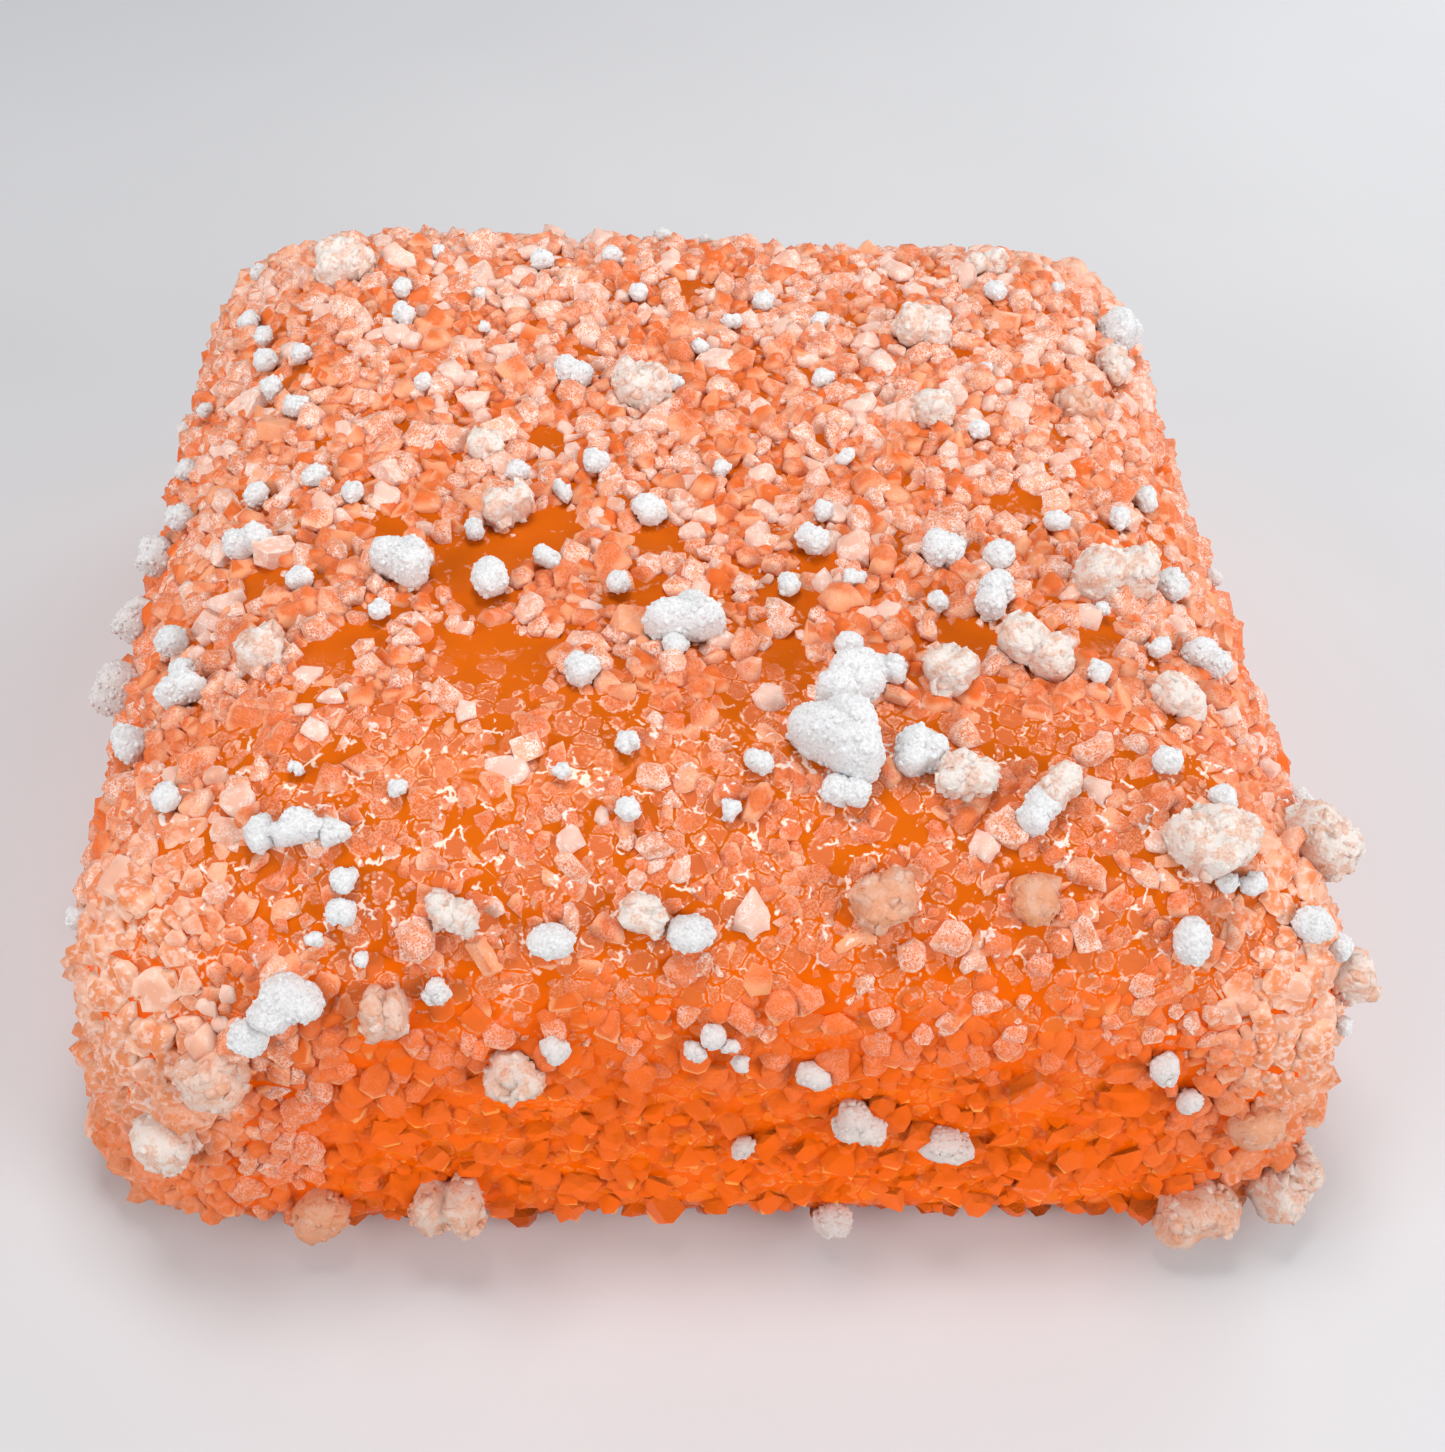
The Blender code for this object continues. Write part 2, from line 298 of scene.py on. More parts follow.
@dataclass(frozen=True)
class CleavedSugar:
    """Granulated sugar, grown from syrup and broken in handling.

    A crystal is clear: its middle is painted with the jelly's orange, as light through it, and its rim is
    painted paler, as a highlight. Dry ones are frosted, salmon and finely crackled with white. Sunk ones
    shine and are ghosts in the orange with a narrow painted rim highlight, and take a painted glow where
    syrup soaks the coat.
    """

    # painted light through the crystal, in the jelly's orange, made brighter to lift the shade between grains
    jelly: str = "#F0843A"
    # painted glow of light through the jelly where syrup soaks the coat, then the painted highlight on its
    # lower rim
    soaked_glow: str = "#F66400"
    soaked_rim_highlight: str = "#FFA24A"
    # the rim colours among those below are painted highlights along the rims of grains
    wet: str = "#DA662A"
    wet_rim: str = "#EA9C70"
    salmon: str = "#D6804C"
    salmon_rim: str = "#E29A72"
    corner: str = "#E28A58"
    corner_rim: str = "#F2B898"
    pale: str = "#F1E0D8"
    syrup: str = "#FFD0AC"
    gloss: float = 0.08
    ior: float = 1.54
    roughness: Ramp = Ramp(0.0, 1.0, 0.12, 0.45)   # by the frost
    corner_soak: Ramp = Ramp(0.0, 0.6, 0.75, 0.0)
    foot: Ramp = Ramp(0.0, 0.45)          # how high up a grain the painted light through it, in the jelly's orange, reaches
    # where the painted rim highlight lies
    rim: Ramp = Ramp(0.62, 0.92)
    rim_frost: Ramp = Ramp(0.1, 0.5, 1.0, 0.0)
    rim_rise: Ramp = Ramp(0.0, 0.4)
    grit: Noise = Noise(0.035, 3.0, 0.75)
    relief: Relief = Relief(0.015, 0.5)
    crackle: Ramp = Ramp(0.44, 0.53)
    crackle_frost: Ramp = Ramp(0.0, 0.8)
    crackle_glint: Ramp = Ramp(0.0, 1.0, 0.0, 0.3)
    crackle_soak: Ramp = Ramp(0.0, 0.6, 1.0, 0.0)
    crackle_rim: Ramp = Ramp(0.2, 0.9, 0.65, 1.0)
    crackle_corner: Ramp = Ramp(0.0, 1.0, 1.0, 0.2)
    patch_noise: Noise = Noise(0.16, 1.0)
    patch: Ramp = Ramp(0.38, 0.6, 0.4, 1.0)
    white_frost: Ramp = Ramp(0.72, 1.0, 0.0, 0.55)
    white_corner: Ramp = Ramp(0.0, 1.0, 1.0, 0.5)
    edge_noise: Noise = Noise(0.16)
    edge: Ramp = Ramp(0.42, 0.58, 0.1, 0.9)
    edge_frost: Ramp = Ramp(0.0, 1.0, 0.1, 0.8)
    bloom_noise: Noise = Noise(0.13, 3.0, 0.65)
    bloom: Ramp = Ramp(0.46, 0.62, 0.0, 0.75)

    def material(self) -> bpy.types.Material:
        """Builds the finish."""
        finish = Finish("cleaved_sugar")
        by = {name: finish.value(name)
              for name in ("frost", "soak_and_painted_light", "rise", "rim", "chip", "glint_share", "corner")}
        paled = finish.times(by["corner"], finish.ramp(by["soak_and_painted_light"], self.corner_soak))
        # where syrup soaks the coat, the middle takes the painted glow and the rim the painted highlight
        middle = finish.blend(by["soak_and_painted_light"], self.wet, self.soaked_glow)
        rim_highlight = finish.blend(by["soak_and_painted_light"], self.wet_rim, self.soaked_rim_highlight)
        for share, inner, outer in ((by["frost"], self.salmon, self.salmon_rim),
                                    (paled, self.corner, self.corner_rim)):
            middle, rim_highlight = finish.blend(share, middle, inner), finish.blend(share, rim_highlight, outer)
        # painted light through the crystal at its foot, a brighter glow where syrup soaks the coat
        low = finish.blend(by["soak_and_painted_light"], self.jelly, self.soaked_glow)
        colour = finish.blend(finish.ramp(by["rise"], self.foot), low, middle)
        # a painted highlight along the rim
        lit = finish.most(finish.ramp(by["frost"], self.rim_frost), finish.ramp(by["rise"], self.rim_rise))
        colour = finish.blend(finish.times(lit, finish.ramp(by["rim"], self.rim)), colour, rim_highlight)
        grit = finish.noise(self.grit)
        colour = finish.blend(self.paleness(finish, grit, by, paled), colour, self.pale)
        return finish.done(
            Base_Color=colour, Roughness=finish.ramp(by["frost"], self.roughness), IOR=self.ior,
            Specular_IOR_Level=self.gloss, Specular_Tint=self.syrup,
            Normal=finish.bump(grit, self.relief))

    def paleness(self, finish: Finish, grit: Socket, by: dict[str, Socket], paled: Socket) -> Socket:
        """The share of pale crackle, frost, chipped edges (also a painted highlight), bloom and painted
        glints.

        Args:
            finish: the material in the making.
            grit: its finest noise.
            by: the mesh's values, by name.
            paled: how dry the coat is, at the corners.
        Returns:
            The share.
        """
        dusted = finish.most(
            finish.ramp(by["frost"], self.crackle_frost),
            finish.times(finish.ramp(by["glint_share"], self.crackle_glint),
                         finish.ramp(by["soak_and_painted_light"], self.crackle_soak)))
        crackle = finish.times(
            finish.ramp(grit, self.crackle), finish.ramp(finish.noise(self.patch_noise), self.patch),
            finish.ramp(by["corner"], self.crackle_corner), dusted, finish.ramp(by["rim"], self.crackle_rim))
        white = finish.times(finish.ramp(by["frost"], self.white_frost),
                             finish.ramp(by["corner"], self.white_corner))
        # chipped edges: paler as chips, and also a painted highlight along the edge
        edge = finish.times(by["chip"], finish.ramp(by["frost"], self.edge_frost),
                            finish.ramp(finish.noise(self.edge_noise), self.edge))
        bloom = finish.times(paled, finish.ramp(finish.noise(self.bloom_noise), self.bloom))
        # the last share is painted reflection glints, in threads
        return finish.most(crackle, edge, white, bloom, finish.threads(by["glint_share"]))


@dataclass(frozen=True)
class SourPowder:
    """Citric acid and sugar, damped and tumbled to granules, dried matt.

    It gives the eye snow: dead white, soft edged, finely crumbly, with no gloss, and painted shade low on the
    sides.
    """

    snow: str = "#DFDFE0"
    shade: str = "#CDCBCA"
    # painted shade, for granules low on the sides
    painted_shade: str = "#CFC2BC"
    roughness: float = 0.85
    ior: float = 1.45
    crumbs: Noise = Noise(0.06, 3.0, 0.65)
    crumb: Ramp = Ramp(0.35, 0.6)
    relief: Relief = Relief(0.03, 0.8)

    def material(self) -> bpy.types.Material:
        """Builds the finish."""
        finish = Finish("sour_powder")
        crumb = finish.noise(self.crumbs)
        colour = finish.blend(finish.ramp(crumb, self.crumb), self.shade, self.snow)
        # painted shade where syrup soaks the coat, low on the sides
        colour = finish.blend(finish.value("soak_and_painted_light"), colour, self.painted_shade)
        return finish.done(Base_Color=colour, Roughness=self.roughness, IOR=self.ior,
                           Normal=finish.bump(crumb, self.relief))


@dataclass(frozen=True)
class PaleSugarLump:
    """Sugar caked to lumps: frosted crystals run together, off-white with salmon where clear; painted shade
    low down.
    """

    cream: str = "#E2D8D0"
    # painted shade, for lumps low on the sides
    salmon: str = "#D68C60"
    painted_shade: str = "#D2BAAC"
    roughness: float = 0.38
    ior: float = 1.52
    vein_noise: Noise = Noise(0.26, 2.0, 0.6)
    vein: Ramp = Ramp(0.4, 0.58)
    vein_frost: Ramp = Ramp(0.0, 1.0, 0.15, 0.6)
    grit: Noise = Noise(0.05, 3.0, 0.75)
    crackle: Ramp = Ramp(0.38, 0.56, 0.3, 0.75)
    relief: Relief = Relief(0.03, 0.8)

    def material(self) -> bpy.types.Material:
        """Builds the finish."""
        finish = Finish("pale_sugar_lump")
        grit, frost = finish.noise(self.grit), finish.value("frost")
        vein = finish.times(finish.ramp(finish.noise(self.vein_noise), self.vein),
                            finish.ramp(frost, self.vein_frost))
        crackle = finish.times(frost, finish.ramp(grit, self.crackle))
        share = finish.node("Math", {0: vein, 1: crackle}, operation="ADD", use_clamp=True).outputs[0]
        # painted shade where syrup soaks the coat, low on the sides
        cream = finish.blend(finish.value("soak_and_painted_light"), self.cream, self.painted_shade)
        return finish.done(Base_Color=finish.blend(share, self.salmon, cream), Roughness=self.roughness,
                           IOR=self.ior, Normal=finish.bump(grit, self.relief))


# ------------------------------------------------------------------------------------------------- shapes

def between(ends: Ends, share: Array | float) -> Array | float:
    """The first end at a share of 0 and the second at 1."""
    return ends[0] + (ends[1] - ends[0]) * share


def unit(ways: Array) -> Array:
    """Directions of any length, made one long."""
    return ways / np.maximum(np.linalg.norm(ways, axis=-1, keepdims=True), TINY)


def crossed(corners: Array) -> Array:
    """Each triangle's outward direction, as long as twice its area."""
    return np.cross(corners[:, 1] - corners[:, 0], corners[:, 2] - corners[:, 0])


@dataclass
class SlabForm:
    """The skin of the jelly, inside its coat: the solid's own form, less the depth of the sugar."""

    width: float = 21.9
    height: float = 8.95
    coat: float = 0.26
    shoulder_height: float = 4.75
    shoulder_reach: float = 4.2
    shoulder_part: float = 0.75           # how much of the shoulder the sides of the mesh climb
    lower_edge: float = 0.9
    lean: float = 0.75
    resting_half: float = 6.0
    arch_rise: float = 0.22
    corner_power: dict = field(default_factory=lambda: {
        (-1, -1): 9.0, (1, -1): 16.0, (-1, 1): 10.0, (1, 1): 16.0})
    swell: float = 0.12
    swell_pitch: float = 7.0
    swell_offset: Triple = (5.0, 0.0, 0.0)
    steps: int = 48
    probe: float = 0.02                   # how far to each side the normal looks
    draw_cells: tuple[int, int] = (360, 240)    # of the skin, round and up, for even draws
    seek_cells: tuple[int, int] = (720, 300)    # and for the nearest point

    def __post_init__(self) -> None:
        """Works out the side profile and the travel along it."""
        turn = np.linspace(0, math.pi / 2, self.steps)
        edge, rise = self.lower_edge, self.height - self.shoulder_height
        self.inset = np.concatenate([[self.width / 2], edge - edge * np.sin(turn),
                                     self.shoulder_reach * (1 - np.cos(turn)), [self.width / 2]])
        self.level = np.concatenate([[0.0], edge - edge * np.cos(turn),
                                     self.shoulder_height + rise * np.sin(turn), [self.height]])
        self.travel = np.concatenate([[0.0], np.cumsum(np.hypot(np.diff(self.inset), np.diff(self.level)))])
        self.length = float(self.travel[-1])

    def place(self, angle: Array, travel: Array) -> Array:
        """Points of the skin.

        Args:
            angle: directions in plan, in radians.
            travel: millimetres up the side profile, from the middle of the underside.
        Returns:
            One point a row, in millimetres.
        """
        inset = np.interp(travel, self.travel, self.inset)
        height = np.interp(travel, self.travel, self.level)
        half = np.maximum(self.width / 2 - inset, 0.0)
        lean = self.lean * (0.5 - height / self.height) * np.minimum(1.0, half / self.resting_half)
        across, along = np.cos(angle), np.sin(angle)
        power = np.zeros_like(across)
        for (right, back), value in self.corner_power.items():
            power = np.where((across * right >= 0) & (along * back >= 0), value, power)
        reach = (np.abs(across) ** power + np.abs(along) ** power) ** (-1 / power)
        reach = np.maximum(half + lean - self.coat, 0.0) * reach
        outward = np.maximum(0.0, half - self.resting_half) / (self.width / 2 - self.resting_half)
        low = np.maximum(0.0, 1 - height / (2 * self.lower_edge))
        arch = self.arch_rise * np.cos(2 * angle) ** 2 * outward ** 2 * low
        level = self.coat + height * (1 - 2 * self.coat / self.height) + arch
        return np.stack([reach * across, reach * along, level], axis=1)

    def skin(self, angle: Array, travel: Array) -> tuple[Array, Array]:
        """Points of the skin with the slow swell of the poured jelly, and its outward directions there."""
        small = self.probe
        inner = np.clip(travel, small, self.length - small)
        round_the_side = self.place(angle + small / 5, inner) - self.place(angle - small / 5, inner)
        up_the_side = self.place(angle, inner + small) - self.place(angle, inner - small)
        normals = unit(np.cross(round_the_side, up_the_side))
        points = self.place(angle, travel)
        offset = Vector(self.swell_offset)
        swell = np.array([noise.noise(Vector(point) / self.swell_pitch + offset) for point in points])
        fade = np.clip(points[:, 2] / self.lower_edge, 0.0, 1.0)
        return points + normals * (swell * self.swell * fade)[:, None], normals

    def grid(self, cells: tuple[int, int]) -> tuple[Array, Array, Array, Array]:
        """Even angles and travels over the skin, and those of each crossing."""
        angles = np.linspace(-math.pi, math.pi, cells[0] + 1)
        travels = np.linspace(0.0, self.length, cells[1] + 1)
        return angles, travels, *(part.ravel() for part in np.meshgrid(angles, travels, indexing="ij"))

    def even_places(self, count: int, rng: np.random.Generator) -> tuple[Array, Array]:
        """Points drawn evenly over the skin, with their outward directions."""
        angles, travels, *grid = self.grid(self.draw_cells)
        corners = self.place(*grid).reshape(len(angles), len(travels), 3)
        crossing = np.cross(corners[1:, 1:] - corners[:-1, :-1], corners[1:, :-1] - corners[:-1, 1:])
        area = np.linalg.norm(crossing, axis=2).ravel()
        cell = np.searchsorted(np.cumsum(area) / area.sum(), rng.random(count))
        row, column = np.divmod(np.minimum(cell, area.size - 1), len(travels) - 1)
        angle = angles[row] + rng.random(count) * (angles[1] - angles[0])
        travel = travels[column] + rng.random(count) * (travels[1] - travels[0])
        return self.skin(angle, travel)

    def nearest(self, spots: Array) -> tuple[Array, Array]:
        """The skin's points and outward directions nearest to given spots."""
        _, _, angle, travel = self.grid(self.seek_cells)
        skin = self.place(angle, travel)
        found = [int(np.argmin(((skin - spot) ** 2).sum(axis=1))) for spot in spots]
        return self.skin(angle[found], travel[found])

    def wrap(self, cage: Array) -> tuple[Array, Array]:
        """Angles and travels that lay the points of a cube, two wide about the origin, on the skin."""
        ring = np.maximum(np.abs(cage[:, 0]), np.abs(cage[:, 1]))
        lower = self.width / 2 - self.lower_edge / 2
        upper = (self.length - (self.width / 2 - self.shoulder_reach)
                 - self.shoulder_reach * self.shoulder_part)
        face = 1 - MM
        travel = lower + (upper - lower) * (cage[:, 2] + 1) / 2
        travel = np.where(cage[:, 2] < -face, lower * ring, travel)
        travel = np.where(cage[:, 2] > face, self.length + (upper - self.length) * ring, travel)
        return np.arctan2(cage[:, 1], cage[:, 0]), travel


@dataclass(frozen=True)
class Syrup:
    """Where syrup soaks and covers the coat and painted glow, shade and glints go; its ramps run over the
    slab.
    """

    middle_x: float = 0.9
    spread: Ramp = Ramp(1.0, 6.0, 1.2, 0.0)     # how much wider the soaked part is low down
    flank: Ramp = Ramp(5.4, 8.8, 1.0, 0.0)      # from the middle of a side towards its corners
    flank_level: Ramp = Ramp(3.6, 7.8, 1.0, 0.0)
    foot_level: Ramp = Ramp(1.5, 5.5, 0.4, 0.0)
    film_level: Ramp = Ramp(5.0, 6.6)
    film_front: Ramp = Ramp(4.4, 7.4)
    film_side: Ramp = Ramp(6.5, 10.0, 1.0, 0.25)
    soaked_film: float = 0.3
    # where the painted reflection glints go, in threads:
    glint_level: Ramp = Ramp(5.6, 7.4)
    glint_front: Ramp = Ramp(5.0, 7.4)
    glint_top: Ramp = Ramp(6.0, 8.0, 0.0, 0.2)
    corner: Ramp = Ramp(6.8, 9.4)

    def at(self, points: Array) -> dict[str, Array]:
        """The syrup at points of the skin.

        Args:
            points: the points, one a row.
        Returns:
            soak_and_painted_light, how far syrup soaks the coat: most in the middle of each side, low down.
            It sinks grains deeper and sets where glow of light through the jelly is painted on grains and
            shade is painted on lumps. film, how deep the wet film stands: most on the front shoulder.
            glint_share, how much painted reflection glint of the lamp in the film shows as pale lines.
            corner, how near an upright corner is, where the coat is driest and palest.
        """
        x, y, z = points.T
        flank = np.minimum(np.abs(x - self.middle_x), np.abs(y)) - self.spread.at(z)
        soak_and_painted_light = np.maximum(self.flank.at(flank) * self.flank_level.at(z), self.foot_level.at(z))
        film = self.film_front.at(-y) * self.film_level.at(z) * self.film_side.at(np.abs(x))
        glint_share = np.maximum(self.glint_top.at(z), self.glint_level.at(z) * self.glint_front.at(-y))
        return {"soak_and_painted_light": soak_and_painted_light, "film": np.maximum(film, self.soaked_film * soak_and_painted_light), "glint_share": glint_share,
                "corner": self.corner.at(np.minimum(np.abs(x), np.abs(y)))}


SYRUP = Syrup()


@dataclass
class JellySlab:
    """The slab of jelly under the coat."""

    form: SlabForm
    finish: WetFruitJelly = WetFruitJelly()
    cells: tuple[int, int, int] = (150, 150, 52)
    film_depth: float = 0.06
    rim_height: float = 0.05              # how far the syrup climbs at a grain
    rim_reach: float = 0.12
    flank: Ramp = Ramp(5.2, 8.2, 1.0, 0.0)      # painted glow of light through the jelly on the lower sides, by the level

    def build(self, grains: list["Grain"]) -> None:
        """Builds the slab, with a film that climbs the grains."""
        bm = bmesh.new()
        bmesh.ops.create_cube(bm, size=2.0)
        for axis, cells in enumerate(self.cells):
            edges = [e for e in bm.edges if abs(e.verts[0].co[axis] - e.verts[1].co[axis]) > 1.0]
            bmesh.ops.subdivide_edges(bm, edges=edges, cuts=cells - 1, use_grid_fill=True)
        mesh = bpy.data.meshes.new("jelly_slab")
        bm.to_mesh(mesh)
        bm.free()
        cage = np.empty(len(mesh.vertices) * 3, dtype=np.float32)
        mesh.vertices.foreach_get("co", cage)
        points, normals = self.form.skin(*self.form.wrap(cage.reshape(-1, 3).astype(float)))
        rise = self.film_rise(points, grains) + self.film_depth * SYRUP.at(points)["film"]
        points = points + normals * rise[:, None]
        mesh.vertices.foreach_set("co", (points * MM).astype(np.float32).ravel())
        values = {**SYRUP.at(points), "flank": self.flank.at(points[:, 2])}
        write_values(mesh, values, ("soak_and_painted_light", "glint_share", "film", "flank"))
        finished(mesh, self.finish.material())

    def film_rise(self, points: Array, grains: list["Grain"]) -> Array:
        """How far the syrup climbs at each point, from the nearest grain's rim."""
        tree = KDTree(len(grains))
        for index, grain in enumerate(grains):
            tree.insert(Vector(grain.place), index)
        tree.balance()
        rise = np.zeros(len(points))
        for index, point in enumerate(points):
            _, nearest, distance = tree.find(Vector(point))
            gap = distance - grains[nearest].size / 2
            rise[index] = self.rim_height * math.exp(-max(gap, 0.0) / self.rim_reach)
        return rise


def write_values(mesh: bpy.types.Mesh, values: dict[str, Array], names: tuple[str, ...]) -> None:
    """Smooths a mesh and gives it named values of points, or of faces for "chip", that a material reads."""
    for name in names:
        layer = mesh.attributes.new(name, "FLOAT", "FACE" if name == "chip" else "POINT")
        layer.data.foreach_set("value", np.asarray(values[name], dtype=np.float32))
    mesh.shade_smooth()


def in_scene(name: str, data: bpy.types.ID) -> bpy.types.Object:
    """Makes an object of its data and adds it to the scene."""
    made = bpy.data.objects.new(name, data)
    bpy.context.scene.collection.objects.link(made)
    return made


def finished(mesh: bpy.types.Mesh, material: bpy.types.Material) -> None:
    """Makes a mesh a finished piece of its own name, riding on the root and standing for the solid.

    Args:
        mesh: its mesh, in metres in the solid's frame.
        material: its finish.
    """
    mesh.materials.append(material)
    piece = in_scene(mesh.name, mesh)
    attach(piece, "root")
    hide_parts(SOLID_NODE)
    LOG.info("%s: %d faces", mesh.name, len(mesh.polygons))


# ------------------------------------------------------------------------------------------------- grains

@dataclass
class Grain:
    """One grain on the skin: where, which way out, how large, how it looks and how deep it sits."""

    place: Array
    out: Array
    size: float
    frost: float
    soak_and_painted_light: float
    sink: float
    # how much painted reflection glint it takes
    glint_share: float = 0.0
    corner: float = 0.0


@dataclass
class Shape:
    """A shape of triangles: points, the directions their shading takes, triangles, and which are chips."""

    points: Array
    ways: Array
    triangles: Array
    chip: Array


JOIN_SEED = 100               # added to the seed of a size class where its grains are joined
SAME_FACET = 0.998            # the least cosine between a facet and a face that is part of it
CHIP_PULL = 0.02              # how much a chipped edge turns the shading of the facets beside it
DRIFT = 50.0                  # how far off the noise of each shape is drawn


def arrays_of(bm: bmesh.types.BMesh, faces: list[bmesh.types.BMFace]) -> tuple[Array, Array]:
    """The points of a bmesh and the corners of its faces."""
    return (np.array([tuple(vert.co) for vert in bm.verts]),
            np.array([[vert.index for vert in face.verts] for face in faces]))


def shape_of(bm: bmesh.types.BMesh, facets: list[Vector] | None = None) -> Shape:
    """Turns a bmesh to a shape one unit wide about the origin, and frees it.

    Args:
        bm: the shape.
        facets: the directions of its whole facets; the other faces count as chipped edges. None means that
            it has none of those.
    Returns:
        The shape.
    """
    bmesh.ops.triangulate(bm, faces=bm.faces)
    bmesh.ops.recalc_face_normals(bm, faces=bm.faces)
    bm.verts.index_update()
    faces = sorted(bm.faces, key=lambda face: [vert.index for vert in face.verts])
    points, triangles = arrays_of(bm, faces)
    chip = np.array([float(facets is not None and max(face.normal.dot(way) for way in facets) <= SAME_FACET)
                     for face in faces])
    ways = np.zeros_like(points)
    for face, worn in zip(faces, chip):
        for vert in face.verts:
            ways[vert.index] += np.array(face.normal) * face.calc_area() * (CHIP_PULL if worn else 1.0)
    bm.free()
    low, high = points.min(axis=0), points.max(axis=0)
    return Shape((points - (low + high) / 2) / float(np.mean(high - low)), unit(ways), triangles, chip)


def hull_of(points: list[Vector]) -> bmesh.types.BMesh:
    """The convex hull of points, as a bmesh."""
    bm = bmesh.new()
    for point in points:
        bm.verts.new(point)
    hull = bmesh.ops.convex_hull(bm, input=bm.verts)
    stray = {item for item in hull["geom_interior"] + hull["geom_unused"]
             if isinstance(item, bmesh.types.BMVert)}
    bmesh.ops.delete(bm, geom=list(stray), context="VERTS")
    return bm


def near(middle: float, spread: float, rng: random.Random) -> Vector:
    """Three draws about a middle."""
    return Vector([middle + rng.uniform(-spread, spread) for _ in range(3)])


def any_way(rng: random.Random) -> Vector:
    """A direction drawn evenly."""
    return Vector([rng.gauss(0, 1) for _ in range(3)]).normalized()


def block_reach(way: Vector, blockiness: float) -> float:
    """How far a ball, at a blockiness of 2, or a blunt block, at more, reaches in a direction."""
    return sum(abs(part) ** blockiness for part in way) ** (-1 / blockiness)


@dataclass
class Stock:
    """Stock shapes that grains draw from, built by a seeded rule."""

    count: int
    seed: int

    def shapes(self) -> list[Shape]:
        """Builds the stock shapes."""
        rng = random.Random(self.seed)
        made: list[Shape] = []
        while len(made) < self.count:
            shape = self.shape(rng)
            if shape is not None:
                made.append(shape)
        return made

    def shape(self, rng: random.Random) -> Shape | None:
        """Builds one shape, or nothing where it fails."""
        raise NotImplementedError


@dataclass
class CrystalStock(Stock):
    """Cleaved crystals: a block, chopped by a few planes, with its edges chipped."""

    chops: int
    chip_width: float = 0.11
    squareness: float = 0.35              # how unlike its sides may be
    skew: float = 0.07                    # how far a corner of the block may be off
    chop_reach: Ends = (0.62, 0.86)
    flat_angle: float = math.radians(14)
    shortest_edge: float = 0.03

    def shape(self, rng: random.Random) -> Shape | None:
        """Builds one crystal, or nothing where the chips left it open."""
        size = near(1.0, self.squareness, rng) / 2
        bm = hull_of([Vector(corner) * size + near(0.0, self.skew, rng)
                      for corner in product((-1, 1), repeat=3)])
        for _ in range(self.chops):
            way = any_way(rng)
            reach = max(vert.co.dot(way) for vert in bm.verts)
            bmesh.ops.bisect_plane(
                bm, geom=bm.verts[:] + bm.edges[:] + bm.faces[:], dist=1e-5,
                plane_co=way * reach * rng.uniform(*self.chop_reach), plane_no=way, clear_outer=True)
            kept = [vert.co.copy() for vert in bm.verts]
            bm.free()
            bm = hull_of(kept)
        bmesh.ops.dissolve_limit(bm, angle_limit=self.flat_angle, verts=bm.verts, edges=bm.edges)
        bmesh.ops.remove_doubles(bm, verts=bm.verts, dist=self.shortest_edge)
        bm.normal_update()
        facets = [face.normal.copy() for face in bm.faces]
        bmesh.ops.bevel(bm, geom=bm.edges[:], offset=self.chip_width, offset_type="OFFSET", segments=1,
                        profile=0.5, affect="EDGES", clamp_overlap=True, material=-1)
        if not bm.faces or not all(edge.is_manifold for edge in bm.edges):
            bm.free()
            return None
        return shape_of(bm, facets)


@dataclass
class WornStock(Stock):
    """Worn crystals: the hull of a few points on a block with rounded corners."""

    corners: int
    squareness: float = 0.25
    blockiness: float = 4.0
    unevenness: float = 0.12
    closest: float = 0.84                 # the greatest cosine between two corners

    def shape(self, rng: random.Random) -> Shape:
        """Builds one crystal."""
        size = near(1.0, self.squareness, rng)
        points: list[Vector] = []
        while len(points) < self.corners:
            way = any_way(rng)
            if any(way.dot(other.normalized()) > self.closest for other in points):
                continue
            uneven = 1 + rng.uniform(-self.unevenness, self.unevenness)
            points.append(way * block_reach(way, self.blockiness) * uneven)
        return shape_of(hull_of([point * size for point in points]))


@dataclass
class CrumbStock(Stock):
    """Crumbs: a ball or a blunt block of few faces, knocked out of round."""

    fineness: int
    roughness: float
    blockiness: float = 2.0
    squareness: float = 0.0
    knocks: tuple = ((1.6, 1.6), (3.75, 1.0))   # how many to a turn, and how strong

    def shape(self, rng: random.Random) -> Shape:
        """Builds one crumb."""
        bm = bmesh.new()
        bmesh.ops.create_icosphere(bm, subdivisions=self.fineness, radius=0.5)
        drift = near(0.0, DRIFT, rng)
        size = near(1.0, self.squareness, rng)
        for vert in bm.verts:
            way = vert.co.normalized()
            knock = sum(noise.noise(way * often + drift) * strong for often, strong in self.knocks)
            vert.co = way * size * (block_reach(way, self.blockiness) * (1 + self.roughness * knock) / 2)
        return shape_of(bm)


class Shading(Enum):
    """How the faces of a grain are shaded."""

    EASED = "flat facets with soft edges"
    SOFT = "facets half worn away"


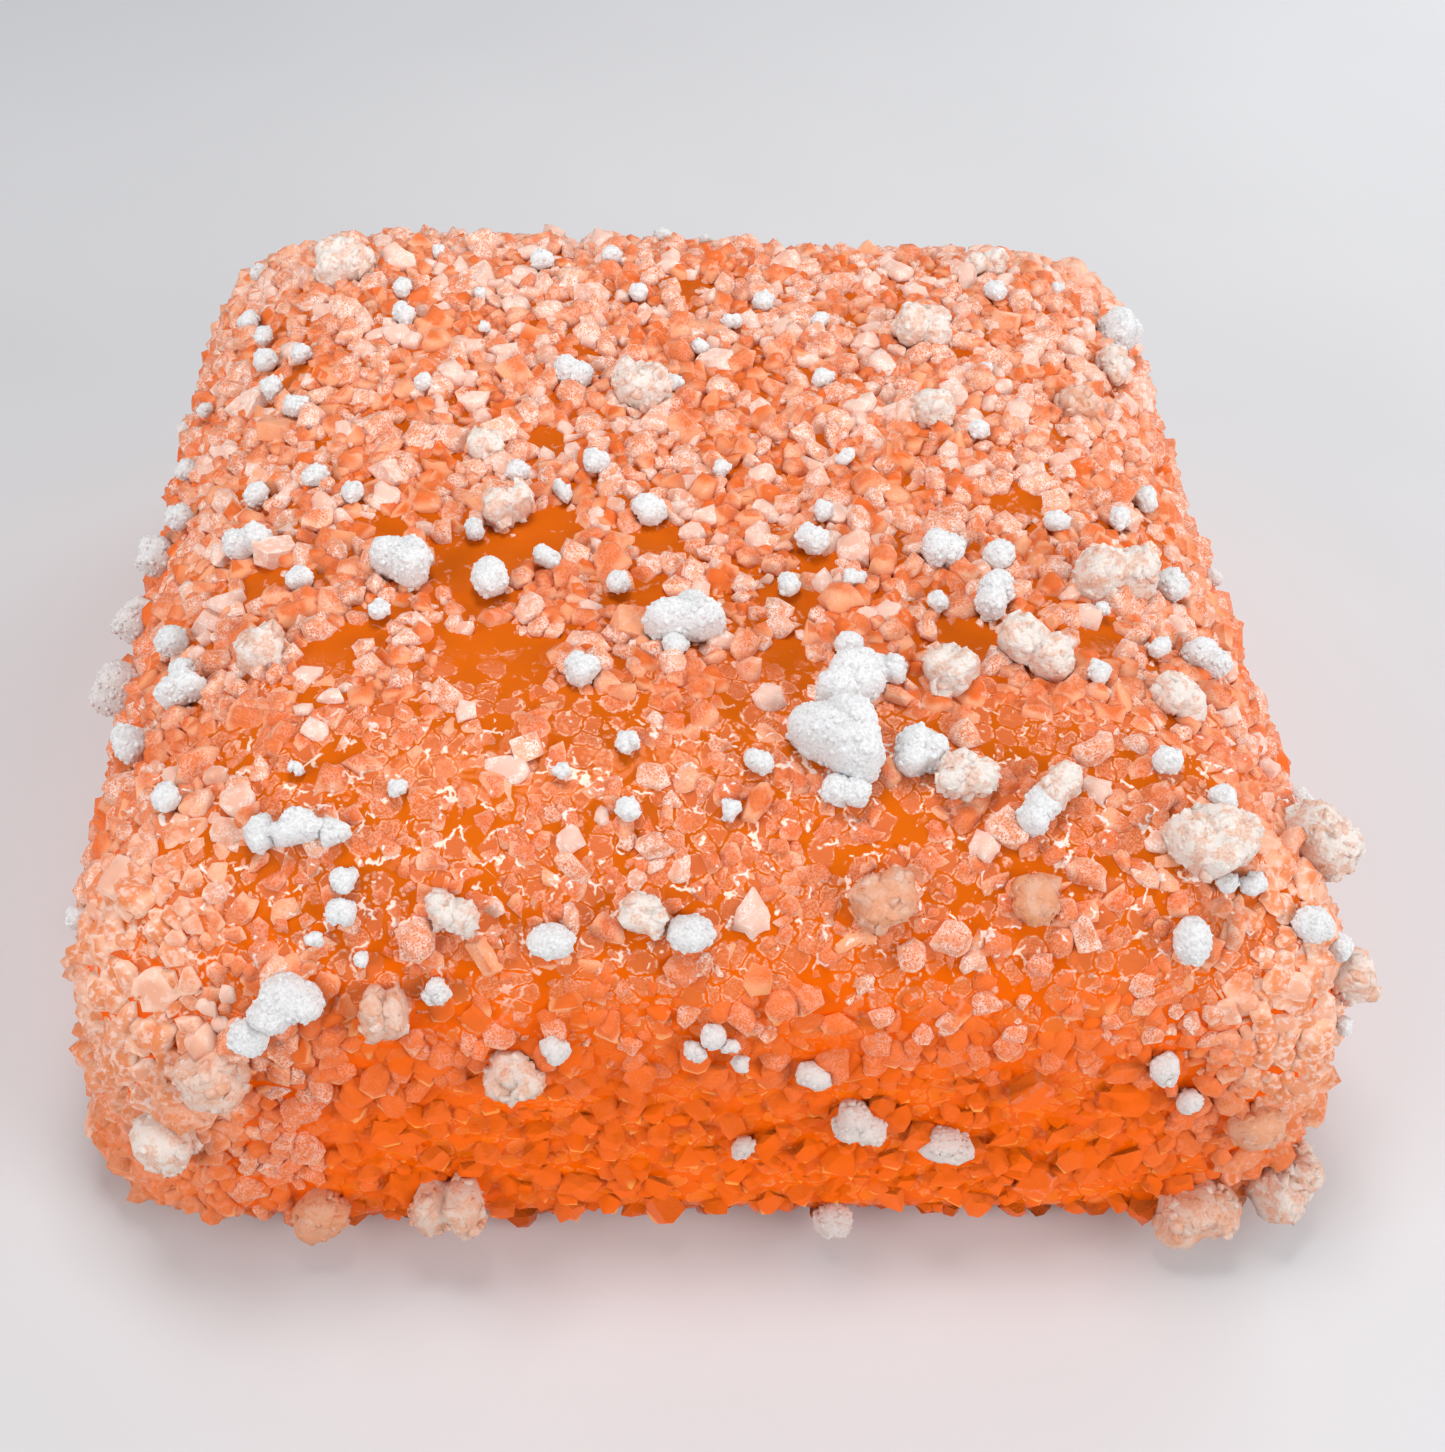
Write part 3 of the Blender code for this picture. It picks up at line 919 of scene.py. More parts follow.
class Gathered:
    """Triangles, and values of their points, gathered to one mesh."""

    def __init__(self) -> None:
        """Starts with nothing."""
        self.arrays: dict[str, list[Array]] = defaultdict(list)
        self.total = 0

    def add(self, points: Array, triangles: Array, **values: Array) -> None:
        """Adds points, triangles of their numbers, and whatever else each point or triangle has."""
        for name, value in {"points": points, "triangles": triangles + self.total, **values}.items():
            self.arrays[name].append(value)
        self.total += len(points)

    def mesh(self, name: str, values: tuple[str, ...]) -> tuple[bpy.types.Mesh, dict[str, Array]]:
        """The mesh, in metres, with the values that it is to carry, and all that was gathered."""
        whole = {part: np.concatenate(arrays) for part, arrays in self.arrays.items()}
        ends = whole["triangles"]
        mesh = bpy.data.meshes.new(name)
        mesh.vertices.add(self.total)
        mesh.vertices.foreach_set("co", (whole["points"] * MM).astype(np.float32).ravel())
        mesh.loops.add(ends.size)
        mesh.loops.foreach_set("vertex_index", ends.astype(np.int32).ravel())
        mesh.polygons.add(len(ends))
        mesh.polygons.foreach_set("loop_start", np.arange(0, ends.size, 3, dtype=np.int32))
        mesh.update(calc_edges=True)
        write_values(mesh, whole, values)
        return mesh, whole


@dataclass(frozen=True)
class GrainJoin:
    """Joins grains to one mesh, from stock shapes that are turned and stretched."""

    stretch: Ends = (0.78, 1.24)          # along each of a grain's axes
    worn: float = 0.75                    # how far the shading of a worn grain's facets runs together
    sunk_level: float = 0.9               # how far syrup levels the shading of a grain that it covers
    corner_level: float = 0.55            # and how far the soft coat of the corners does
    foot: Ramp = Ramp(-0.1, 0.7)          # where the painted rim highlight of a grain in the syrup starts, below its middle
    full_rise: float = 0.6                # of its size, where a grain stands clear of the jelly
    least_shown: float = 0.06             # keeps the rim of a grain that is nearly covered

    def turns(self, count: int, rng: np.random.Generator) -> Array:
        """Turns drawn evenly, one matrix each."""
        w, x, y, z = unit(rng.normal(size=(count, 4))).T
        rows = np.array([[1 - 2 * (y * y + z * z), 2 * (x * y - z * w), 2 * (x * z + y * w)],
                         [2 * (x * y + z * w), 1 - 2 * (x * x + z * z), 2 * (y * z - x * w)],
                         [2 * (x * z - y * w), 2 * (y * z + x * w), 1 - 2 * (x * x + y * y)]])
        return np.moveaxis(rows, 2, 0)

    def placed(self, shape: Shape, grains: list[Grain], rng: np.random.Generator) -> dict[str, Array]:
        """Places grains of one stock shape.

        Args:
            shape: the stock shape.
            grains: the grains, n of them.
            rng: the seeded draw.
        Returns:
            Points, shading directions and values, n by the shape's points.
        """
        spin = self.turns(len(grains), rng)
        stretch = rng.uniform(*self.stretch, size=(len(grains), 1, 3))
        place, out = (np.array([getattr(grain, name) for grain in grains]) for name in ("place", "out"))
        one = {name: np.array([[getattr(grain, name)] for grain in grains])
               for name in ("size", "sink", "frost", "soak_and_painted_light", "glint_share", "corner")}
        size, sink, soak_and_painted_light = one.pop("size"), one.pop("sink"), one["soak_and_painted_light"]
        local = np.einsum("nij,nkj->nki", spin, shape.points[None] * stretch) * size[:, :, None]
        along = np.einsum("nki,ni->nk", local, out)
        side = local - along[:, :, None] * out[:, None, :]
        aside = np.linalg.norm(side, axis=2)
        foot = self.foot.at(-side[:, :, 2] / np.maximum(aside, TINY))
        shown = np.sqrt(np.maximum(0.5 ** 2 - np.minimum(sink, 0.0) ** 2, self.least_shown))
        points = local + (place + out * sink * size)[:, None, :]
        points[:, :, 2] = np.maximum(points[:, :, 2], 0.0)
        one["level"] = np.maximum(soak_and_painted_light * self.sunk_level, one["corner"] * self.corner_level)
        return {
            "points": points, "out": np.repeat(out[:, None, :], len(shape.points), axis=1),
            "ways": unit(np.einsum("nij,nkj->nki", spin, shape.ways[None] / stretch)),
            "rise": np.clip((along + sink * size) / (size * self.full_rise), 0.0, 1.0),
            # the rim that the painted highlight follows; where syrup soaks the coat only its lower side is
            # kept
            "rim": np.clip(aside / (size * shown), 0.0, 1.0) * (1 - soak_and_painted_light * (1 - foot)),
            **{name: np.repeat(value, len(shape.points), axis=1) for name, value in one.items()}}

    def mesh(self, name: str, grains: list[Grain], stock: Stock, seed: int, shading: Shading,
             levelled: bool = True) -> bpy.types.Mesh:
        """Joins grains to one mesh of arrays.

        Args:
            name: the mesh's name.
            grains: the grains.
            stock: builds the shapes that they draw from.
            seed: of the draw.
            shading: how the faces are shaded.
            levelled: whether syrup levels the shading of grains that it covers.
        Returns:
            The mesh, in metres, with the values that the finishes read.
        """
        rng, shapes, gathered = np.random.default_rng(seed), stock.shapes(), Gathered()
        pick = rng.integers(0, len(shapes), len(grains))
        for index, shape in enumerate(shapes):
            mine = [grain for grain, which in zip(grains, pick) if which == index]
            if not mine:
                continue
            triangles = shape.triangles[None] + np.arange(len(mine))[:, None, None] * len(shape.points)
            gathered.add(triangles=triangles.reshape(-1, 3), chip=np.tile(shape.chip, len(mine)), **{
                part: values.reshape(-1, 3) if values.ndim == 3 else values.ravel()
                for part, values in self.placed(shape, mine, rng).items()})
        mesh, whole = gathered.mesh(name, ("rise", "rim", "frost", "soak_and_painted_light", "glint_share", "corner", "chip"))
        level = whole["level"][:, None] * levelled
        ways = unit(whole["ways"] * (1 - level) + whole["out"] * level)
        if shading is Shading.EASED:
            mesh.normals_split_custom_set_from_vertices(ways.tolist())
            return mesh
        ends = whole["triangles"]
        worn = self.worn + (1 - self.worn) * level[ends]
        mixed = unit(unit(crossed(whole["points"][ends]))[:, None, :] * (1 - worn) + ways[ends] * worn)
        mesh.normals_split_custom_set(mixed.reshape(-1, 3).tolist())
        return mesh


class SpacedPlaces:
    """A hashed grid that tells whether a new grain has room."""

    def __init__(self, cell: float) -> None:
        """Starts an empty grid of cells that are as wide as the widest gap asked about."""
        self.cell = cell
        self.cells: dict[tuple[int, ...], list[tuple[Array, float]]] = defaultdict(list)

    def add(self, place: Array, radius: float) -> None:
        """Adds a taken place."""
        self.cells[tuple((place // self.cell).astype(int))].append((place, radius))

    def has_room(self, place: Array, radius: float, closeness: float) -> bool:
        """True if no taken place is nearer than the two radii times the closeness."""
        around = [(at - 1, at, at + 1) for at in (place // self.cell).astype(int)]
        for key in product(*around):
            for other, reach in self.cells.get(key, ()):
                x, y, z = other - place
                least = (radius + reach) * closeness
                if x * x + y * y + z * z < least * least:
                    return False
        return True


@dataclass
class CoatLayer:
    """One size class of the sugar coat."""

    name: str
    count: int
    sizes: Ends
    closeness: float                      # how near to touching two grains may stand, from 0 to 1
    stock: Stock
    wet_share: float = 0.4
    sink: Ends = (-0.05, 0.2)             # how deep a dry grain sits, in its own size
    shading: Shading = Shading.SOFT
    tries: int = 6


# Where the jelly shows through the coat of the top: x, y, radius
BARE_PATCHES = (
    (-2.9, -2.1, 0.55), (-4.2, -2.9, 0.8), (-3.8, -5.4, 0.9), (-2.2, -6.8, 0.6), (-0.9, -2.1, 0.45),
    (-1.1, -3.6, 0.45), (1.4, -3.6, 0.4), (1.1, -5.4, 0.6), (1.9, -2.7, 0.35), (4.3, -4.7, 0.6),
    (0.3, -6.5, 0.5), (2.8, -8.1, 0.4), (-7.9, -3.1, 0.4), (-6.5, -5.1, 0.45), (6.6, -4.4, 0.4),
    (4.6, -6.7, 0.5), (8.4, -1.3, 0.4), (5.8, -0.9, 0.45), (-5.7, -2.0, 0.35), (-3.0, 0.6, 0.35),
)


@dataclass
class SugarCoat:
    """The coat of sugar crystals, in size classes, spread by one seeded rule."""

    form: SlabForm
    seed: int = 27
    finish: CleavedSugar = CleavedSugar()
    grains: list[Grain] = field(default_factory=list)
    taken: SpacedPlaces = field(default_factory=lambda: SpacedPlaces(1.9))
    underside_loss: float = 0.7
    facing_down: float = -0.9
    top_level: float = 7.8
    patch_bare: Ends = (2.15, 0.95)       # how bare a patch's middle and edge are; over 1 is wholly bare
    drift_mm: float = 1.7
    drift_offset: Triple = (3.0, 9.0, 1.0)
    drift_start: float = 0.24             # the drift at which bare jelly starts,
    drift_gain: float = 1.6               # how fast it comes
    drift_thin: float = 0.2               # and how much the drift thins the rest of the coat
    filmed: Ramp = Ramp(5.0, 7.0, 1.0, 0.0)     # towards the front the film closes the coat
    small_more: float = 1.6               # how much oftener the small sizes of a class come
    tone_mm: float = 1.1
    tone_drift: float = 0.6
    tone_back: Ramp = Ramp(-1.0, 5.0, 0.0, 0.15)
    wet_film: float = 0.45                # how much more of the grains are wet in deep film
    wet_corner: float = -0.3              # and at a corner
    wet_frost: Ends = (0.0, 0.35)
    wet_sink: Triple = (-0.16, -0.12, -0.12)    # of any wet grain, in deep film and where soaked
    wet_depth: Ends = (0.26, 0.22)        # how much that varies, and does in deep film
    dry_frost: Ends = (0.2, 1.0)
    dry_curve: float = 0.8
    # how much of the painted glints a dry grain takes
    dry_glint: float = 0.3
    corner_frost: float = 0.15
    soaked_frost: float = 0.9             # how much of the frost is lost where syrup soaks the coat, so the painted glow shows

    def bareness(self, place: Array) -> float:
        """How bare the jelly is at a place: 0 for full cover, 1 and more for none."""
        if place[2] < self.top_level:
            return 0.0
        patch = max(between(self.patch_bare, math.hypot(place[0] - x, place[1] - y) / radius)
                    for x, y, radius in BARE_PATCHES)
        drift = noise.noise(Vector(place) / self.drift_mm + Vector(self.drift_offset))
        dry = self.filmed.at(-place[1])
        return (max(patch, 0.0, (drift - self.drift_start) * self.drift_gain * dry)
                + max(drift, 0.0) * self.drift_thin * dry)

    def grain(self, place: Array, out: Array, size: float, syrup: dict[str, float], draws: Array,
              layer: CoatLayer) -> Grain:
        """Makes one grain: how white it is and how deep it sits, by the syrup about it.

        Args:
            place: the skin's point.
            out: the skin's outward direction.
            size: how wide the grain is.
            syrup: what there is at that place; see Syrup.
            draws: luck, tone and depth, from 0 to 1.
            layer: its size class.
        Returns:
            The grain.
        """
        soak_and_painted_light, film, glint_share, corner = (syrup[name] for name in ("soak_and_painted_light", "film", "glint_share", "corner"))
        luck, tone, depth = draws
        tone += self.tone_drift * noise.noise(Vector(place) / self.tone_mm) + self.tone_back.at(place[1])
        tone = min(max(tone, 0.0), 1.0)
        if luck < layer.wet_share + self.wet_film * film + self.wet_corner * corner:
            frost, deep = between(self.wet_frost, tone), max(film, soak_and_painted_light)
            sink = np.dot(self.wet_sink, (1.0, deep, soak_and_painted_light)) + between(self.wet_depth, deep) * depth
        else:
            frost, sink = between(self.dry_frost, tone ** self.dry_curve), between(layer.sink, depth)
            glint_share *= self.dry_glint
        frost = (frost + self.corner_frost * corner * (1 - frost)) * (1 - self.soaked_frost * soak_and_painted_light)
        return Grain(place, out, size, frost, soak_and_painted_light, sink, glint_share, corner)

    def spread(self, layer: CoatLayer, seed: int) -> list[Grain]:
        """Spreads one size class where it has room."""
        rng = np.random.default_rng(seed)
        points, normals = self.form.even_places(layer.count * layer.tries, rng)
        syrup = SYRUP.at(points)
        made: list[Grain] = []
        for index, (place, out) in enumerate(zip(points, normals)):
            if len(made) == layer.count:
                break
            size = between(layer.sizes, float(rng.random()) ** self.small_more)
            draws = rng.random(3)
            hidden = out[2] < self.facing_down and draws[2] < self.underside_loss
            if hidden or draws[0] < self.bareness(place):
                continue
            if self.taken.has_room(place, size / 2, layer.closeness):
                self.taken.add(place, size / 2)
                here = {name: values[index] for name, values in syrup.items()}
                made.append(self.grain(place, out, size, here, draws, layer))
        return made

    def build(self, layers: list[CoatLayer]) -> None:
        """Builds each size class as a piece, in the order of the list, in which the large ones go first."""
        material = self.finish.material()
        for index, layer in enumerate(layers):
            grains = self.spread(layer, self.seed + index)
            self.grains.extend(grains)
            mesh = GrainJoin().mesh(layer.name, grains, layer.stock, self.seed + JOIN_SEED + index,
                                    layer.shading)
            finished(mesh, material)
            LOG.info("%s: %d grains", layer.name, len(grains))


# -------------------------------------------------------------------------------------------------- lumps

class Lump(NamedTuple):
    """A lump that stands out: a spot near the skin, its size, its turn in plan and how white it is."""

    x: float
    y: float
    z: float
    length: float
    width: float
    turn: float                           # degrees
    lobes: int
    frost: float = 1.0


SOUR_LUMPS = (
    (1.9, -7.0, 8.7, 1.8, 1.2, -40, 3), (2.1, -5.9, 8.8, 1.2, 0.9, 15, 3), (2.7, -5.6, 8.8, 0.7, 0.6, 0, 2),
    (2.2, -4.9, 8.8, 0.5, 0.45, 0, 1), (3.1, -7.2, 8.6, 0.9, 0.8, 20, 3), (1.9, -7.9, 8.4, 0.8, 0.6, 0, 2),
    (0.5, -7.4, 8.6, 0.5, 0.45, 0, 2), (4.8, -3.8, 8.8, 0.9, 0.7, 50, 2), (8.5, -4.6, 8.2, 0.9, 0.6, 0, 2),
    (5.0, -8.1, 8.3, 0.8, 0.7, 30, 2), (4.1, -2.6, 8.8, 0.8, 0.7, 0, 2), (-0.6, -4.5, 8.8, 1.4, 0.9, 4, 3),
    (-2.5, 2.5, 8.8, 0.8, 0.6, 0, 2), (-3.9, -3.5, 8.8, 0.65, 0.8, 0, 1), (-5.4, -3.1, 8.8, 1.1, 0.9, -30, 3),
    (-8.2, -2.1, 8.3, 0.9, 0.6, -15, 2), (-10.2, -0.3, 6.4, 0.8, 0.7, 90, 2),
    (-10.6, -1.5, 6.0, 0.9, 0.8, 90, 2), (-10.7, -3.1, 5.8, 1.1, 0.9, 0, 3),
    (-8.8, -5.3, 7.9, 0.9, 0.6, 0, 3), (-9.8, -5.7, 7.0, 0.8, 0.6, 90, 2), (-6.7, -8.4, 8.1, 0.9, 0.6, 15, 3),
    (-2.8, -9.7, 7.1, 0.75, 0.6, 0, 1), (-0.6, -9.6, 7.1, 0.76, 0.6, 0, 1),
    (-6.8, -10.2, 6.3, 1.2, 0.9, 10, 3),
    (-7.4, -10.4, 5.8, 0.65, 0.6, 0, 1), (2.4, -10.8, 3.7, 0.9, 0.7, 0, 3),
    (3.9, -10.8, 3.1, 1.0, 0.55, 0, 3), (7.4, -9.6, 7.1, 0.6, 0.8, 0, 1), (9.4, -9.4, 7.0, 0.75, 0.6, 0, 1),
    (9.1, 6.0, 7.7, 1.1, 0.9, 40, 3),
)
CAKED_LUMPS = (
    (7.1, -3.1, 8.7, 1.6, 1.0, 10, 2, 0.8), (5.3, -5.1, 8.8, 1.3, 1.0, 0, 2, 0.9),
    (7.7, -6.0, 8.5, 0.9, 0.7, 0, 2, 1.0), (5.3, -7.8, 8.4, 0.9, 0.7, 20, 2, 0.9),
    (3.9, -7.6, 8.5, 1.0, 0.8, 0, 3, 1.0), (3.8, -5.6, 8.8, 0.9, 0.9, -45, 2, 1.0),
    (7.7, -8.5, 8.0, 1.5, 1.3, 0, 4, 0.9), (9.9, -7.8, 7.1, 1.5, 1.4, 0, 4, 0.8),
    (-3.7, -1.6, 8.8, 0.9, 0.8, 0, 2, 0.8), (-7.6, -5.0, 8.5, 0.8, 0.8, 0, 1, 0.8),
    (-4.3, -9.4, 7.4, 0.8, 0.7, 0, 2, 1.0), (-1.3, -9.4, 7.4, 0.8, 0.6, -20, 1, 1.0),
    (-5.3, -10.3, 6.1, 0.8, 0.9, 0, 2, 0.4), (-8.1, -10.6, 5.0, 1.1, 1.1, 30, 1, 0.45),
    (-9.0, -10.6, 3.1, 1.1, 0.9, -20, 1, 0.9), (-3.4, -10.6, 5.1, 1.0, 0.7, 0, 3, 0.9),
    (-4.5, -11.0, 1.6, 1.3, 1.1, 0, 2, 0.7), (-6.7, -11.0, 1.1, 1.1, 0.9, 60, 1, 0.1),
    (2.5, -9.3, 7.5, 1.1, 0.9, 25, 1, 0.15), (4.9, -9.3, 7.5, 0.8, 0.8, 0, 1, 0.1),
    (9.3, -10.7, 3.4, 1.0, 0.9, 0, 1, 0.1), (8.7, -10.9, 1.1, 1.6, 1.1, 20, 3, 0.5),
    (10.3, -10.7, 1.3, 1.4, 1.2, 45, 2, 0.7), (10.3, -9.5, 5.8, 0.9, 0.8, 0, 2, 0.6),
    (4.6, 4.2, 8.8, 1.2, 1.0, 0, 2, 0.9), (7.5, 2.2, 8.6, 0.8, 0.8, 0, 1, 0.3),
    (-1.2, 2.1, 8.8, 1.2, 0.9, -20, 4, 0.9), (-7.2, 6.3, 8.6, 1.3, 0.9, 20, 3, 0.9),
    (4.5, 1.5, 8.8, 0.8, 0.7, 0, 1, 0.9), (8.6, 4.3, 8.0, 0.9, 0.7, 70, 2, 0.9),
    (6.3, 6.9, 8.4, 0.9, 0.6, 10, 2, 1.0), (-4.1, 0.2, 8.8, 0.7, 0.6, 0, 1, 0.8),
)

# The small granules between them: x, y, z near the skin, length
SMALL_SOUR = (
    (5.1, -2.7, 8.8, 0.6), (8.4, -0.2, 8.2, 0.5), (6.3, -1.7, 8.8, 0.5), (7.6, -1.3, 8.5, 0.5),
    (8.3, -2.8, 8.3, 0.65), (7.6, -4.7, 8.5, 0.4), (7.2, -7.3, 8.5, 0.5), (8.0, -7.9, 8.2, 0.5),
    (1.8, -2.3, 8.8, 0.6), (2.4, -3.3, 8.8, 0.45), (-1.1, -1.5, 8.8, 0.6), (-2.1, -0.2, 8.8, 0.55),
    (-1.7, -3.5, 8.8, 0.45), (-2.9, -2.9, 8.8, 0.5), (-5.7, -4.2, 8.8, 0.4), (-7.1, -0.6, 8.7, 0.5),
    (-6.4, -1.2, 8.8, 0.45), (-8.2, -0.7, 8.3, 0.5), (-7.1, -3.3, 8.7, 0.5), (-8.7, 4.6, 8.0, 0.5),
    (-6.0, 5.3, 8.8, 0.5), (-5.9, 4.3, 8.8, 0.5), (-9.9, 1.7, 6.9, 0.45), (-9.8, 0.1, 7.0, 0.55),
    (-9.3, -3.7, 7.5, 0.6), (-8.8, -7.6, 7.8, 0.55), (-6.1, -8.5, 8.1, 0.5), (-7.2, -8.5, 8.0, 0.55),
    (-5.2, -7.9, 8.4, 0.35), (-1.6, -7.1, 8.6, 0.4), (-1.6, -8.2, 8.3, 0.4), (-2.3, -5.7, 8.8, 0.6),
    (-6.0, -9.0, 7.7, 0.45), (-6.0, -9.4, 7.4, 0.5), (-2.7, -10.5, 5.5, 0.45), (1.5, -10.7, 4.9, 0.6),
    (0.5, -10.8, 3.0, 0.4), (7.3, -10.6, 5.1, 0.6), (7.9, -10.7, 4.2, 0.5), (10.3, -9.5, 6.6, 0.5),
    (2.2, -11.0, 0.9, 0.7), (6.4, 5.8, 8.8, 0.5), (-3.2, 6.4, 8.8, 0.5), (1.4, 5.2, 8.8, 0.45),
    (-8.3, 2.5, 8.3, 0.5), (-7.7, 1.6, 8.5, 0.55), (-1.2, 5.4, 8.8, 0.4), (0.7, 4.5, 8.8, 0.4),
    (-8.5, 3.6, 8.2, 0.5), (2.4, 2.6, 8.8, 0.45), (0.0, 3.6, 8.8, 0.35), (-7.8, 3.4, 8.5, 0.4),
)


@dataclass
class CrumbCover:
    """The crumbs that a lump is caked from, as far as they show on it."""

    name: str
    stock: Stock
    sizes: Ends
    spacing: float
    sink: Ends
    small_more: float = 1.5
    frost_spread: float = 0.2

    def spread(self, shape: Shape, frost: float, soak_and_painted_light: float, draw: np.random.Generator) -> list[Grain]:
        """Spreads crumbs over a lump.

        Args:
            shape: the lump, in place.
            frost: how white its crumbs are.
            soak_and_painted_light: how much painted shade they take.
            draw: the seeded draw.
        Returns:
            The crumbs.
        """
        corners = shape.points[shape.triangles]
        out = crossed(corners)
        area = np.maximum(np.linalg.norm(out, axis=1), TINY) / 2
        chosen = draw.choice(len(area), size=int(area.sum() / self.spacing ** 2), p=area / area.sum())
        sizes = between(self.sizes, draw.random(len(chosen)) ** self.small_more)
        sinks = draw.uniform(*self.sink, len(chosen))
        whites = frost + draw.uniform(-self.frost_spread, self.frost_spread, len(chosen))
        return [Grain(corners[face].mean(axis=0), out[face] / (2 * area[face]), size, white, soak_and_painted_light, sink)
                for face, size, white, sink in zip(chosen, sizes, np.clip(whites, 0.0, 1.0), sinks)]


@dataclass
class Lumps:
    """The lumps of one kind: balls run together, set on the skin and covered with crumbs."""

    name: str
    slot: str
    cover: CrumbCover
    crumble: float = 0.14
    blockiness: float = 2.0
    seeds: tuple[int, int] = (11, 12)     # of the lumps, and of joining the crumbs
    sunk: float = 0.2                     # how far a lump's middle stands over the coat, of its width
    on_coat: float = 0.2                  # how much of the coat's depth lies under a lump
    squat: float = 0.92
    small: float = 0.65                   # lumps under this length get fewer faces
    ball: Ends = (0.42, 0.5)              # the radius of a lobe
    apart: Ends = (0.26, 0.36)            # how far a lobe is from the middle
    lobe_tilt: float = 0.3
    lobe_turn: float = 0.2
    knocks: tuple = ((1.9, 1.3), (5.0, 0.6), (13.0, 0.35))   # how many to a turn, and how strong
    least_reach: float = 0.12
    easing: float = 0.3
    keeps_free: float = 0.4               # the radius that a lump takes from the coat, of its width

    def balls(self, lobes: int, rng: random.Random) -> list[tuple[Vector, float]]:
        """The balls that a lump is run together from: middles and radii."""
        made = []
        for index in range(lobes):
            turn = 2 * math.pi * (index + rng.uniform(-self.lobe_turn, self.lobe_turn)) / lobes
            turn += (lobes == 3) * math.pi / 2
            off = Vector((math.cos(turn), math.sin(turn), rng.uniform(-self.lobe_tilt, self.lobe_tilt)))
            off *= rng.uniform(*self.apart) if lobes > 1 else 0.0
            made.append((off, rng.uniform(*self.ball) if lobes > 1 else self.ball[1]))
        return made

    def reach(self, way: Vector, balls: list[tuple[Vector, float]], drift: Vector) -> float:
        """How far a lump reaches in a direction from its middle."""
        reach = self.least_reach
        for off, radius in balls:
            along = way.dot(off)
            inside = along * along - off.length_squared + radius * radius
            if inside > 0:
                reach = max(reach, along + math.sqrt(inside))
        knock = sum(noise.noise(way * often + drift) * strong for often, strong in self.knocks)
        return reach * (1 + self.crumble * knock) * block_reach(way, self.blockiness)

    def shape(self, lump: Lump, place: Array, out: Array, rng: random.Random) -> Shape:
        """Builds one lump in place.

        Args:
            lump: its line of the table.
            place: the skin's point.
            out: the skin's outward direction.
            rng: the seeded draw.
        Returns:
            The lump's points and triangles.
        """
        bm = bmesh.new()
        bmesh.ops.create_icosphere(bm, subdivisions=2 if lump.length < self.small else 3, radius=1.0)
        balls = self.balls(lump.lobes, rng)
        drift = near(0.0, DRIFT, rng)
        for vert in bm.verts:
            way = vert.co.normalized()
            vert.co = way * self.reach(way, balls, drift)
        bmesh.ops.smooth_vert(bm, verts=bm.verts, factor=self.easing, use_axis_x=True, use_axis_y=True,
                              use_axis_z=True)
        low, high = (Vector([end(vert.co[axis] for vert in bm.verts) for axis in range(3)])
                     for end in (min, max))
        bmesh.ops.translate(bm, vec=-(low + high) / 2, verts=bm.verts)
        size = high - low
        depth = (lump.length + lump.width) / 2 * self.squat
        bmesh.ops.scale(bm, vec=(lump.length / size.x, lump.width / size.y, depth / size.z), verts=bm.verts)
        turn = Matrix.Rotation(math.radians(lump.turn), 3, "Z")
        bmesh.ops.rotate(bm, matrix=UP.rotation_difference(Vector(out)).to_matrix() @ turn, verts=bm.verts)
        above = lump.width * self.sunk + self.on_coat * lump.frost
        bmesh.ops.translate(bm, vec=Vector(place) + Vector(out) * above, verts=bm.verts)
        bm.verts.index_update()
        points, triangles = arrays_of(bm, bm.faces)
        bm.free()
        return Shape(points, points, triangles, np.zeros(len(triangles)))

    def build(self, lumps: list[Lump], material: bpy.types.Material, coat: SugarCoat) -> None:
        """Builds lumps of this kind and their crumbs, and takes their places from the coat."""
        rng, draw = random.Random(self.seeds[0]), np.random.default_rng(self.seeds[0])
        places, outs = coat.form.nearest(np.array([lump[:3] for lump in lumps]))
        gathered = Gathered()
        crumbs: list[Grain] = []
        # a lump takes painted shade by how far syrup soaks the coat at its place
        for lump, place, out, soak_and_painted_light in zip(lumps, places, outs, SYRUP.at(places)["soak_and_painted_light"]):
            made = self.shape(lump, place, out, rng)
            crumbs += self.cover.spread(made, lump.frost, soak_and_painted_light, draw)
            made.points[:, 2] = np.maximum(made.points[:, 2], 0.0)
            many = len(made.points)
            gathered.add(made.points, made.triangles, frost=np.full(many, lump.frost),
                         soak_and_painted_light=np.full(many, soak_and_painted_light))
            wide = (lump.length + lump.width) / 2
            coat.taken.add(place, wide * self.keeps_free)
            coat.grains.append(Grain(place, out, wide, 1.0, 0.0, 0.0))
        finished(gathered.mesh(self.name, ("frost", "soak_and_painted_light"))[0], material)
        finished(GrainJoin().mesh(self.cover.name, crumbs, self.cover.stock, self.seeds[1], Shading.SOFT,
                                  levelled=False), material)


